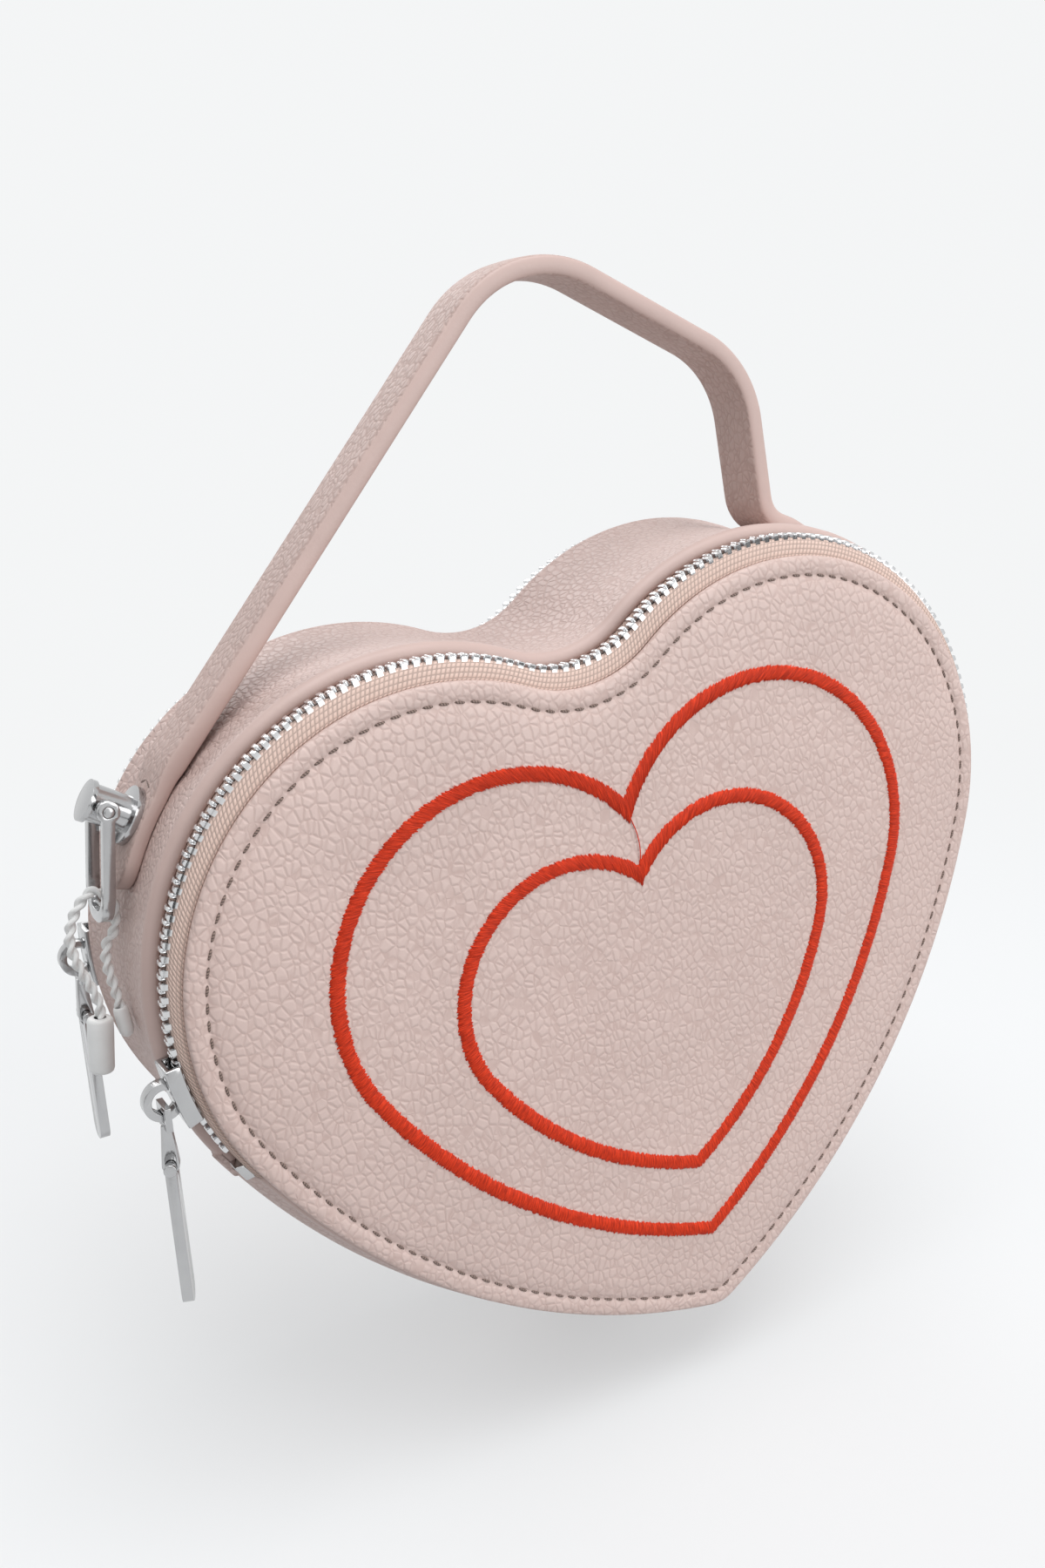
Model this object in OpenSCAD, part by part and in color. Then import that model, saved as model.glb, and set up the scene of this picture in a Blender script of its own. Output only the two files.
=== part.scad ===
// Heart shaped purse with a short top handle, two zipped compartments and a stiff leather body.
// The origin is the grip of the handle. X runs across the heart, the front faces -Y, Z is up.

/* [Heart outline] */
// Distance from the middle of the heart to the middle of a lobe
lobe_x = 42; // [40:0.5:44]
// Radius of a lobe at the panel edge
lobe_r = 54; // [52:0.5:56]
// Radius of the long side below a lobe
side_r = 160; // [150:1:175]
// Angle below level at which a lobe runs into its side
lobe_drop = 23.2; // [22:0.2:25]
// Radius of the point at the bottom
tip_r = 8; // [5:0.5:10]
// Radius of the valley between the lobes
notch_r = 27; // [22:0.5:32]
// Distance from the foot of the lobes' arcs down to the fold
fold_down = 3.7; // [2.5:0.1:7]

/* [Body] */
// Depth of the purse over both panels
bag_depth = 59; // [54:1:70]
// Thickness of a panel's leather
leather_t = 1.8; // [1.4:0.1:2]
// Thickness of the padding board in a panel
padding_t = 1.4; // [1:0.1:1.6]
// Thickness of the lining on a panel
lining_t = 0.8; // [0.5:0.1:1]
// How far the padding lies inside the edge of the leather
padding_in = 0.6; // [0.4:0.1:1.5]
// How far the gusset and its zips stand up above the panels
gusset_rise = 2; // [1:0.25:3]
// Height of the gusset's rolled edge outside the panel outline
gusset_edge = 4.4; // [4:0.1:4.8]
// How far the gusset sags between its edges
gusset_sag = 1.8; // [1:0.1:2.2]
// Thickness of the wall between the compartments
divider_t = 2; // [1:0.2:3]
// Gap at the fold between the panel and its fixed foot
fold_gap = 0.3; // [0.2:0.05:0.5]

/* [Zips] */
// Distance between two teeth of one row
tooth_pitch = 2.5; // [2.3:0.1:3]
// Width of a tooth as a share of the pitch
tooth_w_share = 0.4; // [0.3:0.02:0.44]
// Depth of a row of teeth, across the purse
tooth_d = 1.55; // [1.3:0.05:1.6]
// Gap between the two rows of a closed zip
row_gap = 0.3; // [0.2:0.05:0.5]
// Distance from the panel face to the first row
row_in = 3.2; // [3:0.05:3.4]
// Distance from the panel outline to the foot of the teeth
tooth_foot = 1.4; // [1.3:0.05:1.5]
// Height of the teeth
tooth_h = 2; // [1.6:0.1:2.2]
// Thickness of the zip tape
tape_t = 0.8; // [0.5:0.1:0.9]
// Width of the zip tape behind the teeth
tape_w = 6.2; // [5.5:0.1:7]
// Height above the fold up to which the panel's tape stays on the body
heel_tape_h = 33; // [31:1:36]
// Angle about the lobe at which the front slider is parked
front_park = 185; // [183:1:187]
// Angle about the lobe at which the back slider is parked
back_park = 173; // [170:1:178]
// Length of a slider along the zip
slider_len = 12; // [10:0.5:13]

/* [Pullers] */
// Thickness of a slider's plates
slider_t = 1.1; // [0.8:0.1:1.3]
// Mean radius of the bail on a slider
bail_r = 3; // [2.7:0.1:3.4]
// Thickness of the bail
bail_t = 1.5; // [1.2:0.1:1.6]
// Length of the link from the bail to the rivet
link_len = 11; // [10:0.5:13]
// Width of the pull bar
pull_w = 5.6; // [5:0.2:7]
// Length of the pull bar
pull_len = 28; // [24:1:32]
// Thickness of the pull bar
pull_t = 2; // [1.6:0.1:2.6]
// Diameter of the rivet that holds the pull bar
rivet_d = 1.6; // [1.2:0.1:1.8]
// Turn of the front pull bar about its own length
front_yaw = -20; // [-40:1:0]
// Tilt of the hanging pullers towards the side
hang_tilt = 10; // [0:1:14]

/* [Handle] */
// Width of the handle strap
strap_w = 13; // [10:0.5:15]
// Thickness of the handle strap
strap_t = 3.8; // [3:0.1:4.2]
// Sideways place of the handle's crown
crown_x = 15.8; // [12:0.2:20]
// Height of the handle's crown above the tops of the lobes
crown_up = 72.6; // [66:0.2:81]
// Radius of the crown
crown_r = 25; // [22:0.5:28]
// Distance of the handle's shoulder outward from the middle of the lobe
shoulder_out = 24.6; // [23:0.2:26]
// Height of the handle's shoulder above the tops of the lobes
shoulder_up = 36.4; // [32:0.2:40]
// Radius of the shoulder
shoulder_r = 22; // [18:0.5:24]
// Distance of the knee, at the foot of the right leg, outward from the middle of the lobe
knee_out = 23.4; // [23:0.1:24]
// Height of the knee above the tops of the lobes
knee_up = 3; // [3:0.1:4]
// Radius of the knee
knee_r = 8; // [6:0.5:9]
// Height of the line about which the handle tips, above the tops of the lobes
axis_up = 8; // [7.6:0.1:10]

/* [Strap ends] */
// Thickness of the tab that the handle ends in
tab_t = 2.8; // [2.4:0.1:3.2]
// Length of the tab along the gusset, from the strap to its round end
tab_len = 24; // [22:0.5:25]
// Distance along the tab from the strap to the post
post_at = 10; // [9:0.5:12]
// Length of the right tab, whose post is hidden behind the lobe
right_tab_len = 52; // [48:0.5:56]
// Distance of the right post from the strap's end
right_post_at = 38; // [34:0.5:40]
// Diameter of the post
post_d = 7.2; // [6.8:0.2:8]
// Diameter of the flange under the post
flange_d = 11.5; // [10:0.5:12.5]
// Thickness of the flange
flange_t = 1.4; // [1:0.1:1.6]
// Distance from the tab to the middle of the cross pin
pin_up = 6.4; // [6:0.1:8]
// Diameter of the cross pin
pin_d = 2.2; // [1.8:0.1:2.6]
// Running gap round the cross pin, on the radius
pin_play = 0.06; // [0.02:0.01:0.1]
// Width of the shackle over its legs
shackle_w = 14; // [13:0.2:15]
// Length of the shackle from the pin to its far edge
shackle_len = 22; // [21:0.5:24]
// Thickness of the shackle's wire
shackle_t = 2.2; // [1.8:0.1:2.4]
// Lean of the left shackle outward from straight down
shackle_lean = 17; // [16:1:20]
// Lean of the right shackle from plumb
right_lean = 4; // [3:1:20]

/* [Stitching] */
// Width of the embroidered band
band_w = 3; // [2:0.2:4]
// Height of the embroidery above the leather
band_h = 0.5; // [0.3:0.05:0.7]
// Distance from the panel edge to the seam
seam_in = 4; // [3:0.25:5]
// Thickness of the thread
thread_t = 0.5; // [0.4:0.05:0.7]
// Outer embroidered heart: sideways place of the lobe's middle
outer_x = 31.4; // [30:0.2:33]
// Outer embroidered heart: height of the lobe's middle
outer_z = -5; // [-7:0.5:-3]
// Outer embroidered heart: radius of the lobe
outer_r = 37.6; // [36:0.2:39]
// Outer embroidered heart: radius of the long side
outer_side_r = 135; // [125:1:145]
// Inner embroidered heart: sideways place of the lobe's middle
inner_x = 19.3; // [18:0.1:20]
// Inner embroidered heart: height of the lobe's middle
inner_z = -16; // [-18:0.5:-14]
// Inner embroidered heart: radius of the lobe
inner_r = 26; // [25:0.2:27]
// Inner embroidered heart: radius of the long side
inner_side_r = 86; // [80:1:92]

/* [Hidden] */
$fn = 48;

// Colours of the pieces
leather_c = [0.80, 0.71, 0.69];
tape_c = [0.86, 0.75, 0.70];
lining_c = [0.72, 0.62, 0.58];
metal_c = [0.78, 0.79, 0.80];
thread_c = [0.45, 0.39, 0.36];
red_c = [0.85, 0.22, 0.13];
white_c = [0.93, 0.93, 0.91];

// Overrun of a cut past the solid that it cuts
over = 0.5;
half_depth = bag_depth / 2;
fold_z = -lobe_r * sin(lobe_drop) - fold_down;

// Centres of the arcs of the right half: lobe, long side, tip and valley
lobe_c = [lobe_x, 0];
side_c = lobe_c - (side_r - lobe_r) * [cos(lobe_drop), -sin(lobe_drop)];
tip_c = [0, side_c[1] - sqrt(pow(side_r - tip_r, 2) - pow(side_c[0], 2))];
notch_c = [0, sqrt(pow(lobe_r + notch_r, 2) - pow(lobe_x, 2))];
lobe_end = atan2(notch_c[1], -lobe_x);
tip_end = atan2(tip_c[1] - side_c[1], -side_c[0]);

// Points of an arc about c from angle a0 to a1 in n steps, from step k on
function arc(c, r, a0, a1, n, k = 0) =
    [for (i = [k:n]) c + r * [cos(a0 + (a1 - a0) * i / n), sin(a0 + (a1 - a0) * i / n)]];

// The left half of a path, run on from the right half, without the points on the middle line
weld = 0.001;
function flip(pts) = [for (i = [len(pts) - 1:-1:0]) if (pts[i][0] > weld) [-pts[i][0], pts[i][1]]];
function backward(pts) = [for (i = [len(pts) - 1:-1:0]) pts[i]];
function lift(pts, f) = [for (p = pts) p + [0, gusset_rise * f]];

// Angles at which the side arc and the lobe arc, grown by d, reach height z
function side_cut(z, d) = asin((z - side_c[1]) / (side_r + d));
function lobe_cut(z, d) = asin(z / (lobe_r + d));

// Stretches of the right half of the heart, grown by d
function lobe_run(d, a0, n, k) = arc(lobe_c, lobe_r + d, a0, lobe_end, n, k);
function notch_run(d) = arc(notch_c, notch_r - d, lobe_end - 180, -90, 6, 1);
function side_run(d, z) = arc(side_c, side_r + d, side_cut(z, d), -lobe_drop, 2);
function tip_run(d) = arc(tip_c, tip_r + d, tip_end, -90, 5, 1);

// Right half paths from height z upward or downward, with share f of the gusset's rise
function upper_half(d, f, z) = let (zc = z - gusset_rise * f)
    lift(concat(side_run(d, zc), lobe_run(d, -lobe_drop, 24, 1), notch_run(d)), f);
function lower_half(d, f, z) = let (zc = z - gusset_rise * f)
    lift(concat(arc(side_c, side_r + d, side_cut(zc, d), tip_end, 8), tip_run(d)), f);
function foot_half(d, f, z, z1) = let (zc = z - gusset_rise * f, a1 = lobe_cut(z1 - gusset_rise * f, d))
    lift(concat(side_run(d, zc), arc(lobe_c, lobe_r + d, -lobe_drop, a1, 5, 1)), f);
function crest_half(d, f, z) = let (a0 = lobe_cut(z - gusset_rise * f, d))
    lift(concat(lobe_run(d, a0, 20, 0), notch_run(d)), f);
function whole_half(d, f) = lift(concat(backward(tip_run(d)),
    arc(side_c, side_r + d, tip_end, -lobe_drop, 10), lobe_run(d, -lobe_drop, 24, 1), notch_run(d)), f);
function both(pts) = concat(pts, flip(pts));

// Places the model with its origin at the grip
module placed() {
    translate([-grip[0], 0, -grip[1]]) children();
}

// A flat plate with the outline pts in X and Z, from depth s0 to s1 behind the front face
module plate(s0, s1) {
    translate([0, s1 - half_depth, 0]) rotate([90, 0, 0]) linear_extrude(s1 - s0) children();
}

module front_or_back(back) {
    mirror([0, back ? 1 : 0, 0]) children();
}

// Triangles between rows of n points each, closed round each row
function skin(rows, n) = [for (i = [0:rows - 2], j = [0:n - 1])
    let (a = i * n + j, b = i * n + (j + 1) % n) each [[a, b, b + n], [a, b + n, a + n]]];
function caps(rows, n) = [[for (j = [n - 1:-1:0]) j], [for (j = [0:n - 1]) (rows - 1) * n + j]];

// A closed outline per section, joined along Y; sections hold [growth, depth]
module stack(sections, outlines) {
    n = len(outlines[0]);
    points = [for (i = [0:len(sections) - 1], p = outlines[i]) [p[0], sections[i][1] - half_depth, p[1]]];
    polyhedron(points, concat([for (t = skin(len(sections), n)) [t[0], t[2], t[1]]],
        [for (c = caps(len(sections), n)) backward(c)]));
}

// A profile of points [growth, depth, rise share] carried along a path; paths hold one path per point
module sweep(profile, paths) {
    n = len(profile);
    rows = len(paths[0]);
    points = [for (i = [0:rows - 1], j = [0:n - 1])
        [paths[j][i][0], profile[j][1] - half_depth, paths[j][i][1]]];
    polyhedron(points, concat(skin(rows, n), caps(rows, n)));
}

// Panels: a leather shell, a padding board and a lining, split at the fold
flap_z = fold_z + fold_gap;
shell_shares = [[-0.833, 0], [-0.278, 0.167], [0, 0.611], [0, 1]];
shell_sections = shell_shares * leather_t;
board_s = leather_t + padding_t;
panel_s = board_s + lining_t;

module flap_shell() {
    stack(shell_sections, [for (s = shell_sections) both(upper_half(s[0], 0, flap_z))]);
}

module foot_shell() {
    stack(shell_sections, [for (s = shell_sections) backward(both(lower_half(s[0], 0, fold_z)))]);
}

module flap_plate(s0, s1) {
    plate(s0, s1) polygon(both(upper_half(-padding_in, 0, flap_z)));
}

module foot_plate(s0, s1) {
    plate(s0, s1) polygon(both(lower_half(-padding_in, 0, fold_z)));
}

module front_panel() { color(leather_c) placed() flap_shell(); }
module front_padding() { color(white_c) placed() flap_plate(leather_t, board_s); }
module front_lining() { color(lining_c) placed() flap_plate(board_s, panel_s); }
module back_panel() { color(leather_c) placed() front_or_back(true) flap_shell(); }
module back_padding() { color(white_c) placed() front_or_back(true) flap_plate(leather_t, board_s); }
module back_lining() { color(lining_c) placed() front_or_back(true) flap_plate(board_s, panel_s); }
module front_foot() { color(leather_c) placed() foot_shell(); }
module front_foot_padding() { color(white_c) placed() foot_plate(leather_t, board_s); }
module front_foot_lining() { color(lining_c) placed() foot_plate(board_s, panel_s); }
module back_foot() { color(leather_c) placed() front_or_back(true) foot_shell(); }
module back_foot_padding() { color(white_c) placed() front_or_back(true) foot_plate(leather_t, board_s); }
module back_foot_lining() { color(lining_c) placed() front_or_back(true) foot_plate(board_s, panel_s); }

// Seam round each panel, raised half its thickness above the leather
seam_h = thread_t / 2;
module seam_band(half_out, half_in) {
    plate(-seam_h, 0) polygon(concat(both(half_out), backward(both(half_in))));
}
module flap_seam() {
    seam_band(upper_half(-seam_in, 0, flap_z), upper_half(-seam_in - thread_t, 0, flap_z));
}
module foot_seam() {
    seam_band(lower_half(-seam_in, 0, fold_z), lower_half(-seam_in - thread_t, 0, fold_z));
}
module front_stitching() { color(thread_c) placed() flap_seam(); }
module back_stitching() { color(thread_c) placed() front_or_back(true) flap_seam(); }
module foot_stitching() {
    color(thread_c) placed() for (back = [false, true]) front_or_back(back) foot_seam();
}

// Embroidered hearts: [lobe place, lobe height, lobe radius, side radius, drop] of the band's middle
outer_drop = 25;
inner_drop = 26;
outer_heart = [outer_x, outer_z, outer_r, outer_side_r, outer_drop];
inner_heart = [inner_x, inner_z, inner_r, inner_side_r, inner_drop];
function plain_side_c(h) = [h[0], h[1]] - (h[3] - h[2]) * [cos(h[4]), -sin(h[4])];
function plain_half(h, d) = let (c = plain_side_c(h), r = h[3] + d)
    concat(arc(c, r, -acos(-c[0] / r), -h[4], 10),
        arc([h[0], h[1]], h[2] + d, -h[4], acos(-h[0] / (h[2] + d)), 18, 1));

module embroidery(h, upper) {
    z0 = upper ? fold_z + band_h : fold_z - lobe_r * 2;
    z1 = upper ? lobe_r : fold_z - band_h;
    intersection() {
        plate(-band_h, 0) difference() {
            polygon(both(plain_half(h, band_w / 2)));
            polygon(both(plain_half(h, -band_w / 2)));
        }
        translate([-lobe_x - lobe_r, -bag_depth, z0]) cube([2 * (lobe_x + lobe_r), 2 * bag_depth, z1 - z0]);
    }
}
module embroidery_outer() { color(red_c) placed() embroidery(outer_heart, true); }
module embroidery_inner() { color(red_c) placed() embroidery(inner_heart, true); }
module foot_embroidery_outer() { color(red_c) placed() embroidery(outer_heart, false); }
module foot_embroidery_inner() { color(red_c) placed() embroidery(inner_heart, false); }

// Gusset: a strip round the lobes between the zips, with rolled edges and a sagging middle
row2_in = row_in + tooth_d + row_gap;
tape_end = row2_in + tape_w + tooth_d;
mouth_gap = 1.9;
roll_s = row2_in + tooth_d + mouth_gap;
roll_w = 1.8;
roll_drop = 1.4;
crest_s = roll_s + roll_w;
crest_y = half_depth - crest_s;
lining_d = 0.2;
lining_gap = 0.2;
lining_s = tape_end + lining_gap;
function sag(y) = gusset_edge - gusset_sag * (1 - pow(y / crest_y, 2));
gusset_in = tooth_foot;
gusset_mid_in = 1;
sag_y_shares = [0.84, 0.58, 0.29, 0];
function mirrored(half) = concat(half, [for (i = [len(half) - 1:-1:0])
    if (half[i][1] < half_depth) [half[i][0], bag_depth - half[i][1], half[i][2]]]);
sag_half = [for (y = sag_y_shares * crest_y) [sag(y), half_depth - y, 1]];
roll_shares = [[1, 0], [0.357, 0.389], [0, 1]];
roll_half = [for (r = roll_shares) [gusset_edge - roll_drop * r[0], roll_s + roll_w * r[1], 1]];
gusset_out = mirrored(concat(roll_half, sag_half));
under_lift = 0.1;
gusset_under = mirrored([[gusset_in + under_lift, roll_s, 1], [gusset_in, lining_s, 1],
    [gusset_mid_in, half_depth, 1]]);
gusset_profile = concat(gusset_out, backward(gusset_under));

// Base gusset: shares of the gusset's height, of the way in to its crest, and of its rise
base_shares = [[-0.023, 0, 0], [0.205, 0.071, 0.2], [0.591, 0.318, 0.8], [0.886, 0.729, 1], [1, 1, 1]];
base_half = [for (b = base_shares) [gusset_edge * b[0], leather_t + (crest_s - leather_t) * b[1], b[2]]];
board_gap = 0.1;
base_in = board_gap - padding_in;
base_turn = 9;
base_out = mirrored(concat(base_half, sag_half));
base_clear = 0.2;
base_under = mirrored([[base_in, leather_t, 0], [base_in, panel_s + board_gap, 0],
    [gusset_in, base_turn, 1], [gusset_mid_in + base_clear, half_depth, 1]]);
base_profile = concat(base_out, backward(base_under));

module gusset_band() {
    color(leather_c) placed()
        sweep(gusset_profile, [for (p = gusset_profile) both(upper_half(p[0], p[2], fold_z))]);
}
module base_gusset() {
    color(leather_c) placed()
        sweep(base_profile, [for (p = base_profile) both(lower_half(p[0], p[2], fold_z))]);
}
module gusset_lining() {
    color(lining_c) placed() plate(lining_s, bag_depth - lining_s) difference() {
        polygon(both(whole_half(gusset_mid_in, 1)));
        polygon(both(whole_half(lining_d, 1)));
    }
}
module divider() {
    color(lining_c) placed() plate(half_depth - divider_t / 2, half_depth + divider_t / 2)
        polygon(both(whole_half(lining_d, 1)));
}

// Zips: a woven tape and a row of teeth on the panel, and the same on the body
zip_mid = row_in + tooth_d + row_gap / 2;
heel_z = fold_z + heel_tape_h;
stop_len = 3.5;
stop_clear = 1.2;
tooth_root = 0.5;
tape_out = tooth_foot;
tape_in = tooth_foot - tape_t;
tape_seat = 0.1;
tongue_end = row2_in - row_gap - tape_seat;
roll_in_shares = [[0.143, 0.071, 0], [0.857, 0.357, 0.5], [0.964, 0.929, 1]];
panel_tape = concat([[base_in, leather_t, 0]],
    [for (t = roll_in_shares) [tape_out * t[0], leather_t + (row_in - leather_t) * t[1], t[2]]],
    [[tape_out, tongue_end, 1], [tape_in - tape_seat, tongue_end, 1], [base_in, row_in - tape_seat, 0]]);
body_tape = [[tape_in, row2_in, 1], [tape_out, row2_in, 1], [tape_out, tape_end, 1], [tape_in, tape_end, 1]];

module crest_tape() {
    profile = backward(panel_tape);
    sweep(profile, [for (p = profile) both(crest_half(p[0], p[2], heel_z + fold_gap))]);
}
module foot_tape() {
    profile = backward(panel_tape);
    for (left = [0, 1]) mirror([left, 0, 0])
        sweep(profile, [for (p = profile) foot_half(p[0], p[2], fold_z, heel_z)]);
}
module side_tape() {
    profile = backward(body_tape);
    sweep(profile, [for (p = profile) both(upper_half(p[0], p[2], fold_z))]);
}

// A row of teeth along one arc: s = [centre, radius, +1 outward or -1 inward, first angle, last angle, steps]
function teeth_on(s, phase) = let (d0 = tooth_foot + tooth_root, d1 = tooth_foot + tooth_h,
    n = round(abs(s[4] - s[3]) * PI / 180 * (s[1] + s[2] * d0) / tooth_pitch), da = (s[4] - s[3]) / n)
    [for (i = [0:n - 1], e = [[-1, d0], [-1, d1], [1, d1], [1, d0]])
        let (a = s[3] + da * (i + phase + e[0] * tooth_w_share / 2))
            s[0] + (s[1] + s[2] * e[1]) * [cos(a), sin(a)]];
tooth_seat = 0.05;
function spine_on(s) = arc(s[0], s[1] + s[2] * (tooth_foot + tooth_seat), s[3], s[4], s[5]);
function tooth_arcs(lower, heel) =
    let (z0 = fold_z + stop_len + stop_clear - gusset_rise, z1 = heel_z - gusset_rise)
    concat(lower ? [[side_c, side_r, 1, side_cut(z0, tooth_foot), -lobe_drop, 2]] : [],
        [[lobe_c, lobe_r, 1, lower ? -lobe_drop : lobe_cut(z1 + fold_gap, tooth_foot),
            heel ? lobe_cut(z1, tooth_foot) : lobe_end, heel ? 5 : lower ? 24 : 20]],
        heel ? [] : [[notch_c, notch_r, -1, lobe_end - 180, -90, 6]]);
function teeth_half(arcs, phase) = [for (s = arcs) each lift(teeth_on(s, phase), 1)];
function spine_half(arcs) = [for (s = arcs) each lift(spine_on(s), 1)];
module teeth_row(s0, arcs, phase) {
    plate(s0, s0 + tooth_d)
        polygon(concat(both(teeth_half(arcs, phase)), backward(both(spine_half(arcs)))));
}
module foot_row() {
    arcs = tooth_arcs(true, true);
    for (left = [0, 1]) mirror([left, 0, 0]) plate(row_in, row_in + tooth_d)
        polygon(concat(teeth_half(arcs, 0.25), backward(spine_half(arcs))));
}

module front_tape() { color(tape_c) placed() crest_tape(); }
module back_tape() { color(tape_c) placed() front_or_back(true) crest_tape(); }
module foot_tapes() { color(tape_c) placed() for (back = [false, true]) front_or_back(back) foot_tape(); }
module front_body_tape() { color(tape_c) placed() side_tape(); }
module back_body_tape() { color(tape_c) placed() front_or_back(true) side_tape(); }
module front_teeth() { color(metal_c) placed() teeth_row(row_in, tooth_arcs(false, false), 0.25); }
module back_teeth() {
    color(metal_c) placed() front_or_back(true) teeth_row(row_in, tooth_arcs(false, false), 0.25);
}
module front_body_teeth() { color(metal_c) placed() teeth_row(row2_in, tooth_arcs(true, false), 0.75); }
module back_body_teeth() {
    color(metal_c) placed() front_or_back(true) teeth_row(row2_in, tooth_arcs(true, false), 0.75);
}
module foot_teeth() { color(metal_c) placed() for (back = [false, true]) front_or_back(back) foot_row(); }

// The stops that join both rows at the ends of each zip
function stop_half(d) = let (r = side_r + d, a0 = side_cut(fold_z - gusset_rise, d),
    a1 = side_cut(fold_z + stop_len - gusset_rise, d)) lift(arc(side_c, r, a0, a1, 1), 1);
module zip_stops() {
    color(metal_c) placed() for (back = [false, true], left = [0, 1])
        front_or_back(back) mirror([left, 0, 0]) plate(row_in, row2_in + tooth_d)
            polygon(concat(stop_half(tooth_foot + tooth_h), backward(stop_half(tooth_foot + tooth_seat))));
}

// Sliders: a plate over the teeth with a flange down each side, bent round the lobe
slider_half = 3.4;
slider_gap = 0.4;
flange_w = 1;
slider_in = tooth_foot + tooth_h + slider_gap;
slider_out = slider_in + slider_t;
flange_in = tooth_foot + tooth_root;

// Frame on the left lobe: X runs outward at angle a, Z runs on round the lobe towards larger angles
module on_lobe(a) {
    translate([-lobe_x, 0, gusset_rise]) rotate([0, -a, 0]) children();
}
// A curved slab between radii r0 and r1, angles a0 and a1, and depths y0 and y1, in that frame
module slab(r0, r1, a0, a1, y0, y1) {
    rotate([90, 0, 0]) rotate([0, 0, a0]) rotate_extrude(angle = a1 - a0)
        translate([r0, -y1]) square([r1 - r0, y1 - y0]);
}
slider_turn = slider_len / 2 / (lobe_r + slider_in) * 180 / PI;
zip_y = zip_mid - half_depth;
module slider_body() {
    slab(lobe_r + slider_in, lobe_r + slider_out, -slider_turn, slider_turn,
        zip_y - slider_half, zip_y + slider_half);
    for (y0 = [zip_y - slider_half, zip_y + slider_half - flange_w])
        slab(lobe_r + flange_in, lobe_r + slider_in + slider_t / 2, -slider_turn, slider_turn,
            y0, y0 + flange_w);
}

// The bail: an open ring that stands on the plate
bail_w = 2.4;
bail_up = 1.5;
bail_x = lobe_r + slider_out + bail_up;
module bail() {
    difference() {
        translate([bail_x, zip_y, 0]) rotate([90, 0, 0]) rotate_extrude()
            translate([bail_r - bail_t / 2, -bail_w / 2]) square([bail_t, bail_w]);
        rotate([90, 0, 0]) translate([0, 0, -zip_y - bail_w])
            cylinder(h = 2 * bail_w, r = lobe_r + slider_out, $fn = 96);
    }
}
module front_slider() { color(metal_c) placed() on_lobe(front_park) slider_body(); }
module back_slider() { color(metal_c) placed() front_or_back(true) on_lobe(back_park) slider_body(); }
module front_bail() { color(metal_c) placed() on_lobe(front_park) bail(); }
module back_bail() { color(metal_c) placed() front_or_back(true) on_lobe(back_park) bail(); }

// Frame at the middle of a bail: Z points back up the hanging puller
module at_bail(park) {
    on_lobe(park) translate([bail_x, zip_y, 0]) rotate([0, park, 0]) rotate([0, hang_tilt, 0]) children();
}

// The link: an eye round the bail and a tongue down to the rivet
eye_gap = 0.3;
eye_wire = 1.2;
eye_y = bail_w / 2 + eye_gap;
eye_top = bail_r - bail_t / 2 - eye_gap;
eye_low = bail_r + bail_t / 2 + eye_gap;
tongue_w = 3.2;
tongue_top_w = 1.7;
tongue_t = 2;
pull_gap = 0.3;
rivet_z = -bail_r - link_len + bail_t;
tongue_top = -eye_low - eye_wire / 2;
rivet_head = 0.4;
rivet_head_share = 1.5;
module link(yaw) {
    difference() {
        translate([-eye_wire / 2, -eye_y - eye_wire, -eye_low - eye_wire])
            cube([eye_wire, 2 * (eye_y + eye_wire), eye_low - eye_top + 2 * eye_wire]);
        translate([-eye_wire, -eye_y, -eye_low]) cube([2 * eye_wire, 2 * eye_y, eye_low - eye_top]);
    }
    difference() {
        rotate([0, 0, yaw]) union() {
            translate([0, tongue_t / 2, 0]) rotate([90, 0, 0]) linear_extrude(tongue_t)
                polygon([[-tongue_w / 2, rivet_z], [tongue_w / 2, rivet_z],
                    [tongue_top_w / 2, tongue_top], [-tongue_top_w / 2, tongue_top]]);
            translate([0, tongue_t / 2, rivet_z]) rotate([90, 0, 0]) cylinder(h = tongue_t, d = tongue_w);
        }
        rotate([0, 0, yaw]) translate([0, tongue_t, rivet_z]) rotate([90, 0, 0])
            cylinder(h = 2 * tongue_t, d = rivet_d);
    }
}
module rivet(yaw) {
    rotate([0, 0, yaw]) translate([0, 0, rivet_z]) rotate([90, 0, 0]) {
        cylinder(h = pull_w + 2 * pin_play, d = rivet_d, center = true);
        for (y0 = [-pull_w / 2 - pin_play - rivet_head, pull_w / 2 + pin_play])
            translate([0, 0, y0]) cylinder(h = rivet_head, d = rivet_head_share * rivet_d);
    }
}

// The pull bar: a flat bar with a forked top that swings on the rivet
slot_half = tongue_t / 2 + pull_gap;
module pull(yaw) {
    low = pull_w / 2;
    rotate([0, 0, yaw]) translate([0, 0, rivet_z]) difference() {
        union() {
            rotate([90, 0, 0]) cylinder(h = pull_w, d = pull_t, center = true);
            translate([-pull_t / 2, -pull_w / 2, low - pull_len]) cube([pull_t, pull_w, pull_len - low]);
            translate([-pull_t / 2, 0, low - pull_len]) rotate([0, 90, 0]) cylinder(h = pull_t, d = pull_w);
        }
        rotate([90, 0, 0]) cylinder(h = pull_w + 2 * over, d = rivet_d + 2 * pin_play, center = true);
        translate([-tongue_w, -slot_half, -tongue_w / 2 - pull_gap])
            cube([2 * tongue_w, 2 * slot_half, tongue_w + pull_t]);
    }
}
module front_link() { color(metal_c) placed() at_bail(front_park) link(front_yaw); }
module back_link() { color(metal_c) placed() front_or_back(true) at_bail(back_park) link(0); }
module front_rivet() { color(metal_c) placed() at_bail(front_park) rivet(front_yaw); }
module back_rivet() { color(metal_c) placed() front_or_back(true) at_bail(back_park) rivet(0); }
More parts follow.
